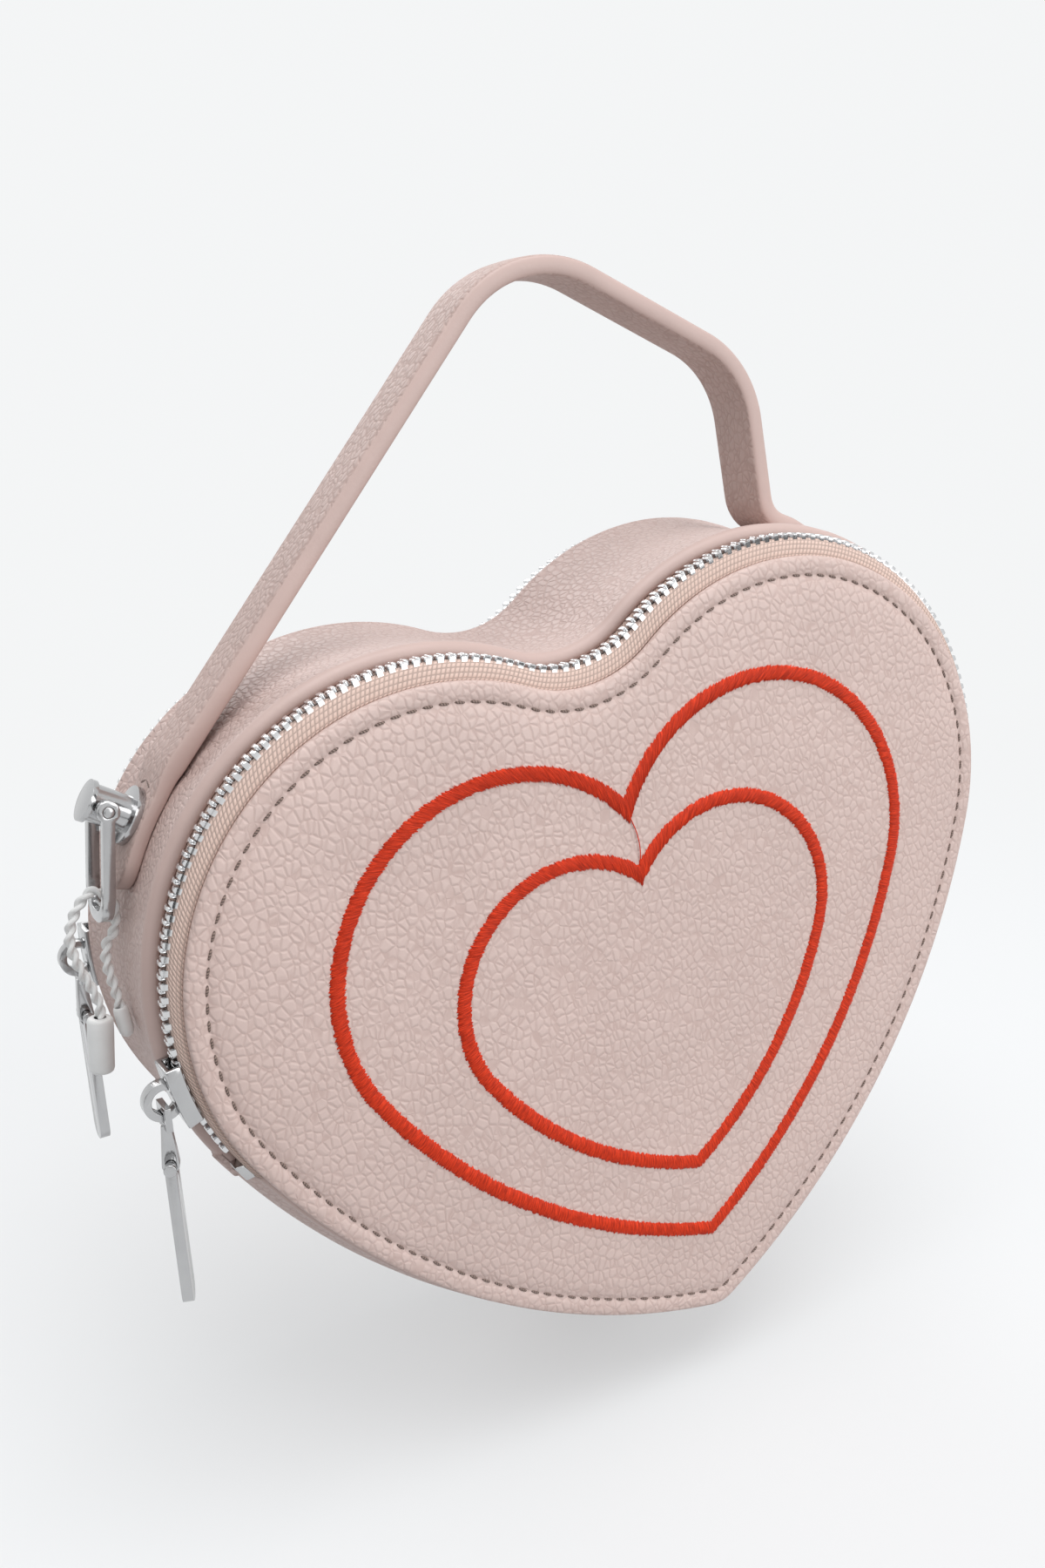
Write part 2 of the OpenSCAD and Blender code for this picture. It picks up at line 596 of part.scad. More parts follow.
module front_pull() { color(metal_c) placed() at_bail(front_park) pull(front_yaw); }
module back_pull() { color(metal_c) placed() front_or_back(true) at_bail(back_park) pull(0); }

// Strap ends: where the middle of the strap runs on to the tab's middle radius, tangent to it
tab_gap = 0.05;
tab_in_r = lobe_r + sag(strap_w / 2) + tab_gap;
tab_out_r = tab_in_r + tab_t;
tab_step = 0.3;
tab_w = strap_w - tab_step;
strap_end_r = tab_in_r + strap_t / 2;
left_c = [-lobe_x, gusset_rise];
right_c = [lobe_x, gusset_rise];
crown_p = [crown_x, lobe_r + crown_up];
shoulder_p = [lobe_x + shoulder_out, lobe_r + shoulder_up];
knee_p = [lobe_x + knee_out, lobe_r + knee_up];
strap_axis_z = lobe_r + axis_up;
function turn_to(v) = atan2(v[1], v[0]);
left_angle = turn_to(crown_p - left_c) + acos(strap_end_r / norm(crown_p - left_c));
right_angle = turn_to(knee_p - right_c) - acos(strap_end_r / norm(knee_p - right_c));
left_end = left_c + strap_end_r * [cos(left_angle), sin(left_angle)];
right_end = right_c + strap_end_r * [cos(right_angle), sin(right_angle)];

// Handle: the middle line of the strap as [point, normal] pairs, straight with rounded bends
function unit(v) = v / norm(v);
function side_of(u) = [-u[1], u[0]];
function spun(v, a) = [v[0] * cos(a) - v[1] * sin(a), v[0] * sin(a) + v[1] * cos(a)];
function bend(p, u, v, r, n) = let (w = atan2(cross(u, v), u * v), s = sign(w), t = r * tan(abs(w) / 2),
    c = p - t * u + s * r * side_of(u))
    [for (k = [0:n]) let (a = w * k / n) [c + r * spun(-s * side_of(u), a), spun(side_of(u), a)]];
run_a = unit(crown_p - left_end);
run_b = unit(shoulder_p - crown_p);
run_c = unit(knee_p - shoulder_p);
run_d = unit(right_end - knee_p);
crown_bend = bend(crown_p, run_a, run_b, crown_r, 16);
strap_line = concat([[left_end, side_of(run_a)]], crown_bend, bend(shoulder_p, run_b, run_c, shoulder_r, 12),
    bend(knee_p, run_c, run_d, knee_r, 8), [[right_end, side_of(run_d)]]);
grip = crown_bend[8][0];

module ribbon() {
    half = strap_t / 2;
    translate([0, strap_w / 2, 0]) rotate([90, 0, 0]) linear_extrude(strap_w) polygon(concat(
        [for (e = strap_line) e[0] + half * e[1]], backward([for (e = strap_line) e[0] - half * e[1]])));
}
// The strap ends round at the line about which it tips, and its roots stop just below
root_z = strap_axis_z - strap_w / 2 - fold_gap;
strap_span = 2 * (lobe_x + lobe_r);
module handle_strap() {
    color(leather_c) placed() intersection() {
        ribbon();
        union() {
            translate([-strap_span / 2, -strap_w, strap_axis_z])
                cube([strap_span, 2 * strap_w, lobe_r + crown_up]);
            translate([-strap_span / 2, 0, strap_axis_z]) rotate([0, 90, 0])
                cylinder(h = strap_span, d = strap_w, $fn = 96);
        }
    }
}

// Tab on the gusset with a round end, in the frame of its lobe; a is the angle of the strap's end
arc_angle = 180 / PI / tab_out_r;
post_turn = post_at * arc_angle;
right_post_turn = right_post_at * arc_angle;
tab_turn = tab_len * arc_angle;
right_tab_turn = right_tab_len * arc_angle;
round_turn = strap_w / 2 * arc_angle;
lap_turn = strap_t * arc_angle;
module tab_end(a, turn) {
    intersection() {
        on_lobe(a) slab(tab_in_r + tab_step, tab_out_r, -lap_turn, turn,
            -tab_w / 2, tab_w / 2);
        union() {
            on_lobe(a) slab(tab_in_r - over, tab_out_r + over, -2 * lap_turn, turn - round_turn,
                -strap_w, strap_w);
            on_lobe(a + turn - round_turn) rotate([0, 90, 0]) cylinder(h = 2 * lobe_r, d = strap_w);
        }
    }
}
module strap_root(x0) {
    intersection() {
        ribbon();
        translate([x0, -strap_w, 0]) cube([lobe_x + lobe_r, 2 * strap_w, root_z]);
    }
}
module left_tab() {
    color(leather_c) placed() union() {
        strap_root(-lobe_x - lobe_r);
        tab_end(left_angle, tab_turn);
    }
}
module right_tab() {
    color(leather_c) placed() union() {
        strap_root(0);
        mirror([1, 0, 0]) tab_end(180 - right_angle, right_tab_turn);
    }
}

// Frame of each post: X runs along the post, with zero on the tab
function post_angle(left) = left ? left_angle + post_turn : 180 - right_angle + right_post_turn;
module at_posts(left) {
    mirror([left ? 0 : 1, 0, 0]) on_lobe(post_angle(left))
        translate([tab_out_r, 0, 0]) children();
}
stitch_w_share = 0.72;
stitch_h_share = 0.25;
stitch_w = stitch_w_share * strap_w;
stitch_h = stitch_h_share * strap_w;
module cross_stitch() {
    for (turned = [-1, 1]) rotate([turned * atan2(stitch_h, stitch_w), 0, 0])
        translate([0, -stitch_w / 2, -thread_t / 2]) cube([seam_h, stitch_w, thread_t]);
}
module tab_stitches() {
    color(thread_c) placed() for (left = [false, true])
        mirror([left ? 0 : 1, 0, 0]) on_lobe((left ? left_angle : 180 - right_angle) + post_turn / 4)
            translate([tab_out_r, 0, 0]) cross_stitch();
}

// Post: a flange on the tab, a barrel across which the pin runs, and a flat head
head_t = 1;
head_rim = 0.5;
head_d = post_d + 2 * head_rim;
pin_cover = 2;
post_h = pin_up + pin_d / 2 + pin_cover;
module post() {
    difference() {
        rotate([0, 90, 0]) union() {
            cylinder(h = flange_t, d = flange_d);
            cylinder(h = post_h, d = post_d);
            translate([0, 0, post_h - head_t]) cylinder(h = head_t, d = head_d);
        }
        translate([pin_up, 0, 0]) rotate([90, 0, 0])
            cylinder(h = flange_d, d = pin_d + 2 * pin_play, center = true);
    }
}
module left_post() { color(metal_c) placed() at_posts(true) post(); }
module right_post() { color(metal_c) placed() at_posts(false) post(); }

// Shackle: a long U with an eye on each leg, hung on a pin through the post
leg_y = shackle_w / 2 - shackle_t;
eye_share = 1.9;
eye_d = eye_share * pin_d;
bow_flat = 1;
bow_r = shackle_w / 2 - bow_flat;
module shackle_outline(grow) {
    w = shackle_w / 2 - shackle_t + grow;
    r = bow_r - shackle_t + grow;
    low = shackle_len - shackle_t + grow;
    polygon(concat([[-w, 0]], arc([-w + r, -low + r], r, 180, 270, 8), arc([w - r, -low + r], r, 270, 360, 8),
        [[w, 0]]));
}
// Frame at the pin: Z points back up the shackle, Y along the pin
module at_pins(left) {
    at_posts(left) translate([pin_up, 0, 0]) rotate([0, post_angle(left) + (left ? shackle_lean : right_lean), 0])
        children();
}
module shackle() {
    difference() {
        union() {
            rotate([90, 0, 90]) translate([0, 0, -shackle_t / 2]) linear_extrude(shackle_t) difference() {
                shackle_outline(shackle_t);
                shackle_outline(0);
            }
            for (y1 = [-leg_y, leg_y + shackle_t])
                translate([0, y1, 0]) rotate([90, 0, 0]) cylinder(h = shackle_t, d = eye_d);
        }
        rotate([90, 0, 0]) cylinder(h = 2 * shackle_w, d = pin_d, center = true);
    }
}
module pin() {
    rotate([90, 0, 0]) cylinder(h = shackle_w, d = pin_d, center = true);
}
module left_shackle() { color(metal_c) placed() at_pins(true) shackle(); }
module right_shackle() { color(metal_c) placed() at_pins(false) shackle(); }
module left_pin() { color(metal_c) placed() at_pins(true) pin(); }
module right_pin() { color(metal_c) placed() at_pins(false) pin(); }

// Tag cord: its route in X and Z, from the barrel up, over and round the shackle's bow and down to the plug
cord_d = 2.2;
cord_route = [[-104.6, 5.7], [-104, 7.9], [-104.2, 11], [-104.9, 15], [-105.4, 19], [-105.1, 22.6],
    [-103.3, 26.3], [-100.5, 29], [-98.1, 29.7], [-95.9, 27.3], [-95.6, 24.6], [-97.1, 20.9],
    [-98.9, 19.2], [-100, 16.5], [-100.3, 13.5], [-100.3, 11], [-100.4, 7.9], [-100.5, 5.7]];
barrel_d = 5;
barrel_len = 11;
plug_d = 3;
plug_len = 6;
cord_sides = 8;
cord_n = len(cord_route);
function along(i) = unit(cord_route[min(i + 1, cord_n - 1)] - cord_route[max(i - 1, 0)]);
function cord_ring(i) = let (u = i == 0 ? unit(cord_route[1] - cord_route[0]) :
        i == cord_n - 1 ? unit(cord_route[i] - cord_route[i - 1]) : along(i), q = side_of(u))
    [for (k = [0:cord_sides - 1]) let (a = 360 * k / cord_sides)
        [cord_route[i][0] + cord_d / 2 * cos(a) * q[0], cord_d / 2 * sin(a),
            cord_route[i][1] + cord_d / 2 * cos(a) * q[1]]];
module tag_cord() {
    color(white_c) placed() polyhedron([for (i = [0:cord_n - 1]) each cord_ring(i)],
        concat(skin(cord_n, cord_sides), caps(cord_n, cord_sides)));
}
// A cylinder of diameter d and length h that runs on from the end of the cord at p in the direction u
module run_on(p, u, h, d) {
    translate([p[0], 0, p[1]]) rotate([0, atan2(u[0], u[1]), 0]) cylinder(h = h, d = d);
}
module tag_barrel() {
    color(white_c) placed() run_on(cord_route[0], unit(cord_route[0] - cord_route[1]), barrel_len, barrel_d);
}
module tag_plug() {
    color(white_c) placed()
        run_on(cord_route[cord_n - 1], unit(cord_route[cord_n - 1] - cord_route[cord_n - 2]),
            plug_len, plug_d);
}

handle_strap();
left_tab();
right_tab();
tab_stitches();
gusset_band();
gusset_lining();
base_gusset();
divider();
front_foot();
front_foot_padding();
front_foot_lining();
back_foot();
back_foot_padding();
back_foot_lining();
foot_stitching();
foot_embroidery_outer();
foot_embroidery_inner();
front_body_tape();
front_body_teeth();
back_body_tape();
back_body_teeth();
foot_tapes();
foot_teeth();
zip_stops();
left_post();
right_post();
front_panel();
front_padding();
front_lining();
front_stitching();
embroidery_outer();
embroidery_inner();
front_tape();
front_teeth();
back_panel();
back_padding();
back_lining();
back_stitching();
back_tape();
back_teeth();
front_slider();
front_bail();
back_slider();
back_bail();
front_link();
front_rivet();
back_link();
back_rivet();
front_pull();
back_pull();
left_shackle();
left_pin();
right_shackle();
right_pin();
tag_cord();
tag_barrel();
tag_plug();
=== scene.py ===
import math
import random

import bmesh
import bpy
import numpy as np
from mathutils import Matrix, Vector


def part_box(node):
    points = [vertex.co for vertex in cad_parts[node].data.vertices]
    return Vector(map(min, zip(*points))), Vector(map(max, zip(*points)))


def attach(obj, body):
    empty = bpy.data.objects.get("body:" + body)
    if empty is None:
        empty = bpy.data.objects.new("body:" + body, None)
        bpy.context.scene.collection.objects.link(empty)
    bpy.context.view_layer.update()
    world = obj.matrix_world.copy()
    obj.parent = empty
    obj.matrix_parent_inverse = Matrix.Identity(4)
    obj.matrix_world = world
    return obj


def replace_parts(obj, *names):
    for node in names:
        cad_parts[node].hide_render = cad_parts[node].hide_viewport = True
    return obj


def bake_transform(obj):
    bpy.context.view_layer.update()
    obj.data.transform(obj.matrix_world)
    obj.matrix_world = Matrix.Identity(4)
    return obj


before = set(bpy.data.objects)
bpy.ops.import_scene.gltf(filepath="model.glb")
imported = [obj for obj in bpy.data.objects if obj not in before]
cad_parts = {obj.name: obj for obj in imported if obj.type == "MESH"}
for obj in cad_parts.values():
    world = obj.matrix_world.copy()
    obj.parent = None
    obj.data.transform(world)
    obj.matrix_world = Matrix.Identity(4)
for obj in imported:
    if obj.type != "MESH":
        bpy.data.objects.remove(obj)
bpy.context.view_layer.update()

# The purse in its carrying pose. Its frame has the grip of the handle at the origin, X across
# the heart, the front towards -Y and Z up, all in metres.
mm = 0.001

# The camera looks down at the purse from the front left, as in the photo. Its place comes from
# the mirror symmetry of the heart.
def added(name, data):
    """A new object in the scene."""
    item = bpy.data.objects.new(name, data)
    bpy.context.scene.collection.objects.link(item)
    return item


def meshed(name, points, faces, *finishes):
    mesh = bpy.data.meshes.new(name)
    mesh.from_pydata(points, [], faces)
    for finish in finishes:
        mesh.materials.append(finish)
    return mesh


lens_data = bpy.data.cameras.new("camera")
lens_data.sensor_fit = "VERTICAL"
lens_data.sensor_height = 36
lens_data.lens = 33.0
lens_data.clip_start = 0.01
camera = added("camera", lens_data)
camera.location = (-151.9 * mm, -263.2 * mm, -0.5 * mm)
camera.rotation_euler = [math.radians(a) for a in (70.337, 12.164, -30.535)]
bpy.context.scene.camera = camera


# The studio: a white table and wall, a large soft window from above, a fill from the front
# right and a weak rim from behind. The purse hangs tilted in the photo, so here the table leans.
class Shade:
    """A value in a material's nodes, on which sums and products can be written."""

    def __init__(self, finish, link):
        self.finish = finish
        self.link = link

    def maths(self, operation, *values):
        return self.finish.node("ShaderNodeMath", {"operation": operation}, dict(enumerate(values)))

    def sine(self):
        """The sine of this value times pi."""
        return self.maths("SINE", self * math.pi)

    def __add__(self, other):
        return self.maths("ADD", self, other)

    def __sub__(self, other):
        return self.maths("SUBTRACT", self, other)

    def __rsub__(self, other):
        return self.maths("SUBTRACT", other, self)

    def __mul__(self, other):
        return self.maths("MULTIPLY", self, other)

    def __truediv__(self, other):
        return self.maths("DIVIDE", self, other)

    def __pow__(self, other):
        return self.maths("POWER", self, other)

    __radd__ = __add__
    __rmul__ = __mul__


class Finish:
    """A material and its nodes, with a Principled shader at the end."""

    def __init__(self, name, **sockets):
        self.material = bpy.data.materials.new(name)
        self.material.use_nodes = True
        self.tree = self.material.node_tree
        self.tree.nodes.clear()
        self.shader = self.tree.nodes.new("ShaderNodeBsdfPrincipled")
        self.output = self.tree.nodes.new("ShaderNodeOutputMaterial")
        self.tree.links.new(self.shader.outputs[0], self.output.inputs[0])
        for socket, value in sockets.items():
            self.set(self.shader, socket.replace("_", " "), value)

    def set(self, node, socket, value):
        place = node.inputs[socket]
        if isinstance(value, Shade):
            self.tree.links.new(value.link, place)
        elif isinstance(value, (tuple, list)) and len(value) == 3 and place.type == "RGBA":
            place.default_value = (*value, 1)
        else:
            place.default_value = value

    def node(self, kind, settings=None, values=None, output=0):
        node = self.tree.nodes.new(kind)
        for name, setting in (settings or {}).items():
            if name == "stops":
                ramp = node.color_ramp.elements
                while len(ramp) < len(setting):
                    ramp.new(0.5)
                for stop, (place, colour) in zip(ramp, setting):
                    stop.position = place
                    stop.color = (*colour, 1)
            else:
                setattr(node, name, setting)
        for socket, value in (values or {}).items():
            self.set(node, socket, value)
        return Shade(self, node.outputs[output])

    def finish(self, **sockets):
        for socket, value in sockets.items():
            self.set(self.shader, socket.replace("_", " "), value)
        return self.material

    def where(self):
        """Places on the piece, in metres of the frame."""
        return self.node("ShaderNodeTexCoord", output="Object")

    def noise(self, size, detail=2.0, rough=0.5):
        """Soft random values from 0 to 1, with patches of about this size in metres."""
        return self.node("ShaderNodeTexNoise", None,
            {"Vector": self.where(), "Scale": 1 / size, "Detail": detail, "Roughness": rough})

    def between(self, factor, first, second):
        """A colour that runs from the first to the second as factor goes from 0 to 1."""
        return self.node("ShaderNodeMix", {"data_type": "RGBA"}, {0: factor, 6: first, 7: second}, 2)

    def run(self):
        """Places along and across a piece, in metres, from its run map."""
        parts = {0: self.node("ShaderNodeUVMap", {"uv_map": "run"})}
        return [self.node("ShaderNodeSeparateXYZ", None, parts, k) for k in (0, 1)]

    def strands(self, wide, long, detail):
        """Soft streaks that follow a piece's run."""
        along_run = self.node("ShaderNodeUVMap", {"uv_map": "run"})
        at = self.node("ShaderNodeVectorMath", {"operation": "MULTIPLY"},
            {0: along_run, 1: (1 / wide, 1 / long, 1)})
        return self.node("ShaderNodeTexNoise", None, {"Vector": at, "Scale": 1.0, "Detail": detail})

    def steps(self, value, low, high):
        """0 below low, 1 above high and smooth between."""
        return self.node("ShaderNodeMapRange", {"interpolation_type": "SMOOTHSTEP"},
            {"Value": value, "From Min": low, "From Max": high})

    def relief(self, height, depth, strength=1.0):
        """A normal raised by a height from 0 to 1, depth metres at most."""
        return self.node("ShaderNodeBump", None,
            {"Height": height, "Distance": depth, "Strength": strength})


def tint(colour, share):
    """The colour made lighter or darker."""
    return tuple(min(1, c * share) for c in colour)


up = Vector((0.178, -0.112, 0.978)).normalized()
heel_point = Vector((-16 * mm, 0, -228 * mm))
table_gap = 14 * mm
side = up.orthogonal().normalized()
across = up.cross(side)
middle = heel_point - up * table_gap
half_table = 3.0
table_mesh = meshed("table", [middle + side * half_table * a + across * half_table * b
    for a, b in ((-1, -1), (1, -1), (1, 1), (-1, 1))], [(0, 1, 2, 3)])
table = added("table", table_mesh)
backdrop_white = (0.905, 0.915, 0.92)
table_finish = Finish("white_table", Base_Color=(0.43, 0.435, 0.44), Roughness=0.8)
table_finish.set(table_finish.shader, "Specular IOR Level", 0.05)
path = [table_finish.node("ShaderNodeLightPath", output=ray) for ray in
    ("Is Camera Ray", "Is Glossy Ray", "Is Transmission Ray")]
seen = path[0].maths("MINIMUM", path[0] + path[1] + path[2], 1.0)
far_glow = table_finish.node("ShaderNodeEmission", None,
    {"Color": backdrop_white, "Strength": seen * 0.55 + 0.45})
near_glow = table_finish.node("ShaderNodeEmission", None, {"Color": backdrop_white, "Strength": seen * 0.45})
near = table_finish.node("ShaderNodeAddShader", None,
    {0: Shade(table_finish, table_finish.shader.outputs[0]), 1: near_glow})
apart = table_finish.node("ShaderNodeVectorMath", {"operation": "DISTANCE"},
    {0: table_finish.where(), 1: tuple(middle)}, 1)
table_look = table_finish.node("ShaderNodeMixShader", None,
    {0: table_finish.steps(apart, 0.16, 0.55), 1: near, 2: far_glow})
table_finish.tree.links.new(table_look.link, table_finish.output.inputs[0])
table_mesh.materials.append(table_finish.material)

world = bpy.data.worlds.new("studio")
bpy.context.scene.world = world
world.use_nodes = True
world_tree = world.node_tree
light_path = world_tree.nodes.new("ShaderNodeLightPath")
room = world_tree.nodes["Background"]
room.inputs["Color"].default_value = (0.96, 0.98, 1.0, 1)
room.inputs["Strength"].default_value = 0.60
backdrop = world_tree.nodes.new("ShaderNodeBackground")
backdrop.inputs["Color"].default_value = (*backdrop_white, 1)


def joined(node, *sources):
    """Feeds a node of the world from these outputs, in turn."""
    for place, source in zip(node.inputs, sources):
        world_tree.links.new(source, place)
    return node.outputs[0] if node.outputs else None


rays = light_path.outputs["Is Camera Ray"]
for ray in ("Is Glossy Ray", "Is Transmission Ray"):
    either = world_tree.nodes.new("ShaderNodeMath")
    either.operation = "MAXIMUM"
    rays = joined(either, rays, light_path.outputs[ray])
choice = joined(world_tree.nodes.new("ShaderNodeMixShader"), rays, room.outputs[0], backdrop.outputs[0])
joined(world_tree.nodes["World Output"], choice)
purse_middle = Vector((-16 * mm, 0, -130 * mm))


def soft_light(name, place, size, power):
    lamp = bpy.data.lights.new(name, "AREA")
    lamp.shape = "RECTANGLE"
    lamp.size, lamp.size_y = size
    lamp.energy = power
    holder = added(name, lamp)
    holder.location = purse_middle + Vector(place)
    holder.rotation_euler = (purse_middle - holder.location).to_track_quat("-Z", "Y").to_euler()


soft_light("window", (0.2, -0.35, 1.1), (0.9, 0.9), 8.5)
soft_light("fill", (0.65, -1.05, 0.15), (0.9, 0.9), 6.5)
soft_light("rim", (0.1, 1.0, 0.7), (0.7, 0.5), 3)

# Dark cards beside the camera, which only the metal shows, as a line of shade in its bright sides.
card_shade = Finish("dark_card", Base_Color=(0.02, 0.02, 0.022), Roughness=0.9)
cards = (("front_card", (-0.35, -0.85, -0.15), (0.4, 0.6)), ("left_card", (-0.85, -0.1, 0.1), (0.4, 0.9)),
    ("right_card", (0.5, -0.6, 0.05), (0.25, 0.8)), ("low_card", (-0.3, -0.5, -0.5), (0.6, 0.3)))
for name, place_at, card_size in cards:
    w, h = card_size[0] / 2, card_size[1] / 2
    card = added(name, meshed(name, [(-w, -h, 0), (w, -h, 0), (w, h, 0), (-w, h, 0)],
        [(0, 1, 2, 3)], card_shade.material))
    card.location = purse_middle + Vector(place_at)
    card.rotation_euler = (purse_middle - card.location).to_track_quat("Z", "Y").to_euler()
    card.visible_camera = card.visible_diffuse = card.visible_shadow = card.visible_transmission = False


# The heart's outline, from which every leather piece is cut: two round lobes, long sides, a
# rounded point and a valley. Its middle and height come from the front panel.
panel_low, panel_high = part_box("front_panel")
lobe_r, lobe_x = 54 * mm, 42 * mm
side_r, tip_r, notch_r = 160 * mm, 8 * mm, 27 * mm
lobe_drop = math.radians(23.2)
heart_x = (panel_low[0] + panel_high[0]) / 2
heart_z = panel_high[2] - lobe_r
face_y = panel_low[1]
fold_z = -25 * mm
gusset_rise = 2 * mm
middle_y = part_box("back_panel")[1][1] + face_y
half_depth = (middle_y / 2) - face_y
side_c = (lobe_x - (side_r - lobe_r) * math.cos(lobe_drop), (side_r - lobe_r) * math.sin(lobe_drop))
tip_cz = side_c[1] - math.sqrt((side_r - tip_r) ** 2 - side_c[0] ** 2)
notch_cz = math.sqrt((lobe_r + notch_r) ** 2 - lobe_x ** 2)
lobe_end = math.atan2(notch_cz, -lobe_x)
tip_end = math.atan2(tip_cz - side_c[1], -side_c[0])


def right_half(growth, step=2 * mm):
    """The heart's right half from the point up to the valley, grown outward; every growth has
    the same number of points."""
    runs = [((0, tip_cz), tip_r, 1, -math.pi / 2, tip_end), (side_c, side_r, 1, tip_end, -lobe_drop),
        ((lobe_x, 0), lobe_r, 1, -lobe_drop, lobe_end),
        ((0, notch_cz), notch_r, -1, lobe_end - math.pi, -math.pi / 2)]
    points = []
    for centre, radius, way, first, last in runs:
        count = max(3, math.ceil(abs(last - first) * radius / step))
        angles = np.linspace(first, last, count + 1)[1 if points else 0:]
        grown = radius + way * growth
        points += [(centre[0] + grown * math.cos(a), centre[1] + grown * math.sin(a)) for a in angles]
    return points


def height_index(z):
    """Which point of the right half is the first above this height."""
    return next(i for i, point in enumerate(right_half(0)) if point[1] >= z)


def raised(points, share):
    """Points lifted by this share of the gusset's rise above the panels."""
    return [(x, z + gusset_rise * share) for x, z in points]


def both_halves(right):
    """The right half and its mirror image, run on as one path; points on the middle are shared."""
    return right + [(-x, z) for x, z in reversed(right) if x > 1e-6]


def distances(points):
    """How far along a line each of its points lies."""
    return np.concatenate([[0], np.cumsum([math.dist(a, b) for a, b in zip(points, points[1:])])])


both_sides = (("front", 1), ("back", -1))


# Panels: pebbled pale pink leather over a padding board, front and back. The rim is turned
# over the board's edge, a seam runs 4 mm inside it, and the middle stands slightly proud.
def place(x, s, z, side=1):
    """A point of the purse from the heart's middle; s is the depth behind the front face, or
    behind the back face where side is -1."""
    return (heart_x + x, side * (face_y + s), heart_z + z)


def grid_piece(name, rows, finishes, loop=False, ring=False, finish_of=None, flip=False):
    """A sheet over rows of points. loop joins each row's ends, ring joins the last row to the
    first. finish_of gives each face's finish from its row and column."""
    count, width = len(rows), len(rows[0])
    faces, slots = [], []
    for i in range(count if ring else count - 1):
        for j in range(width if loop else width - 1):
            a, b = i * width + j, i * width + (j + 1) % width
            c, d = (i + 1) % count * width + (j + 1) % width, (i + 1) % count * width + j
            faces.append((a, d, c, b) if flip else (a, b, c, d))
            slots.append(finish_of(i, j) if finish_of else 0)
    mesh = meshed(name, [p for row in rows for p in row], faces, *finishes)
    mesh.polygons.foreach_set("material_index", slots)
    mesh.shade_smooth()
    along, over = distances([row[0] for row in rows]), distances(rows[0])
    uv = mesh.uv_layers.new(name="run")
    spots = np.array([(along[v // width], over[v % width]) for v in
        (corner.vertex_index for corner in mesh.loops)])
    uv.data.foreach_set("uv", spots.ravel())
    piece = added(name, mesh)
    return piece


def pebbled(name, base, cell, depth, stretch=(1, 1, 1), rough=0.5):
    """Embossed leather: rounded pebbles a cell across, divided by fine creases, which are painted darker as
    shade.
    """
    f = Finish(name)
    at = f.node("ShaderNodeVectorMath", {"operation": "MULTIPLY"}, {0: f.where(), 1: stretch})
    wander = f.node("ShaderNodeTexNoise", None, {"Vector": at, "Scale": 0.5 / cell, "Detail": 2.0}, 1)
    moved = f.node("ShaderNodeVectorMath", {"operation": "MULTIPLY_ADD"},
        {0: wander, 1: (cell * 0.45,) * 3, 2: at})
    crease = f.node("ShaderNodeTexVoronoi", {"feature": "DISTANCE_TO_EDGE"},
        {"Vector": moved, "Scale": 1 / cell, "Randomness": 0.9})
    dome = f.steps(crease, 0.0, 0.27)
    line = 1 - f.steps(crease, 0.0, 0.15)
    pores = f.noise(cell * 0.2)
    height = dome * 0.88 + (1 - line) * 0.08 + pores * 0.04
    patch = f.noise(22 * mm, 3.0, 0.6)
    # The creases are painted darker than the pebbles, as painted shade.
    dark = tuple(c * k for c, k in zip(base, (0.70, 0.62, 0.60)))
    ground = f.between(f.steps(patch, 0.3, 0.7), tint(base, 0.97), tint(base, 1.03))
    faint = f.steps(f.noise(cell * 1.6), 0.36, 0.64) * 0.5 + 0.45
    colour = f.between(line * faint * 0.45, ground, dark)
    return f.finish(Base_Color=colour, Roughness=rough + line * 0.14 - pores * 0.06,
        Normal=f.relief(height, depth, 0.9))


pink = (0.640, 0.492, 0.450)
panel_finish = pebbled("panel_leather", pink, 1.7 * mm, 0.13 * mm, (1, 1, 0.8))
seam_in = 4 * mm
rim_profile = [(-0.3, 1.8), (-0.05, 1.4), (0, 1.0), (-0.1, 0.6), (-0.4, 0.25), (-0.9, 0.05),
    (-1.6, -0.06), (-2.5, -0.1), (-3.2, -0.02), (-3.7, 0.2), (-4.0, 0.32), (-4.3, 0.2), (-4.9, -0.1),
    (-5.8, -0.34), (-7, -0.55)]
heart_centre = (0, -8 * mm)
puff, puff_reach, panel_rings = 0.9 * mm, 11 * mm, 44


def puffed(inside):
    """Depth of the leather this far inside the rim's last row."""
    return rim_profile[-1][1] * mm - puff * (1 - math.exp(-inside / puff_reach))


def towards_centre(x, z, share):
    return (heart_centre[0] + (x - heart_centre[0]) * share, heart_centre[1] + (z - heart_centre[1]) * share)


def panel_piece(name, side):
    rows = [[place(x, s * mm, z, side) for x, z in both_halves(right_half(growth * mm))]
        for growth, s in rim_profile]
    edge = both_halves(right_half(rim_profile[-1][0] * mm))
    for k in range(1, panel_rings + 1):
        share = 1 - k / panel_rings
        row = []
        for spot in edge:
            x, z = towards_centre(*spot, share)
            row.append(place(x, puffed((1 - share) * math.dist(spot, heart_centre)), z, side))
        rows.append(row)
    return grid_piece(name, rows, [panel_finish], loop=True, flip=side < 0)


for name, side in both_sides:
    leather = panel_piece(name + "_leather", side)
    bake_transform(leather)
    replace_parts(leather, *(name + node for node in ("_panel", "_foot", "_padding", "_foot_padding")))
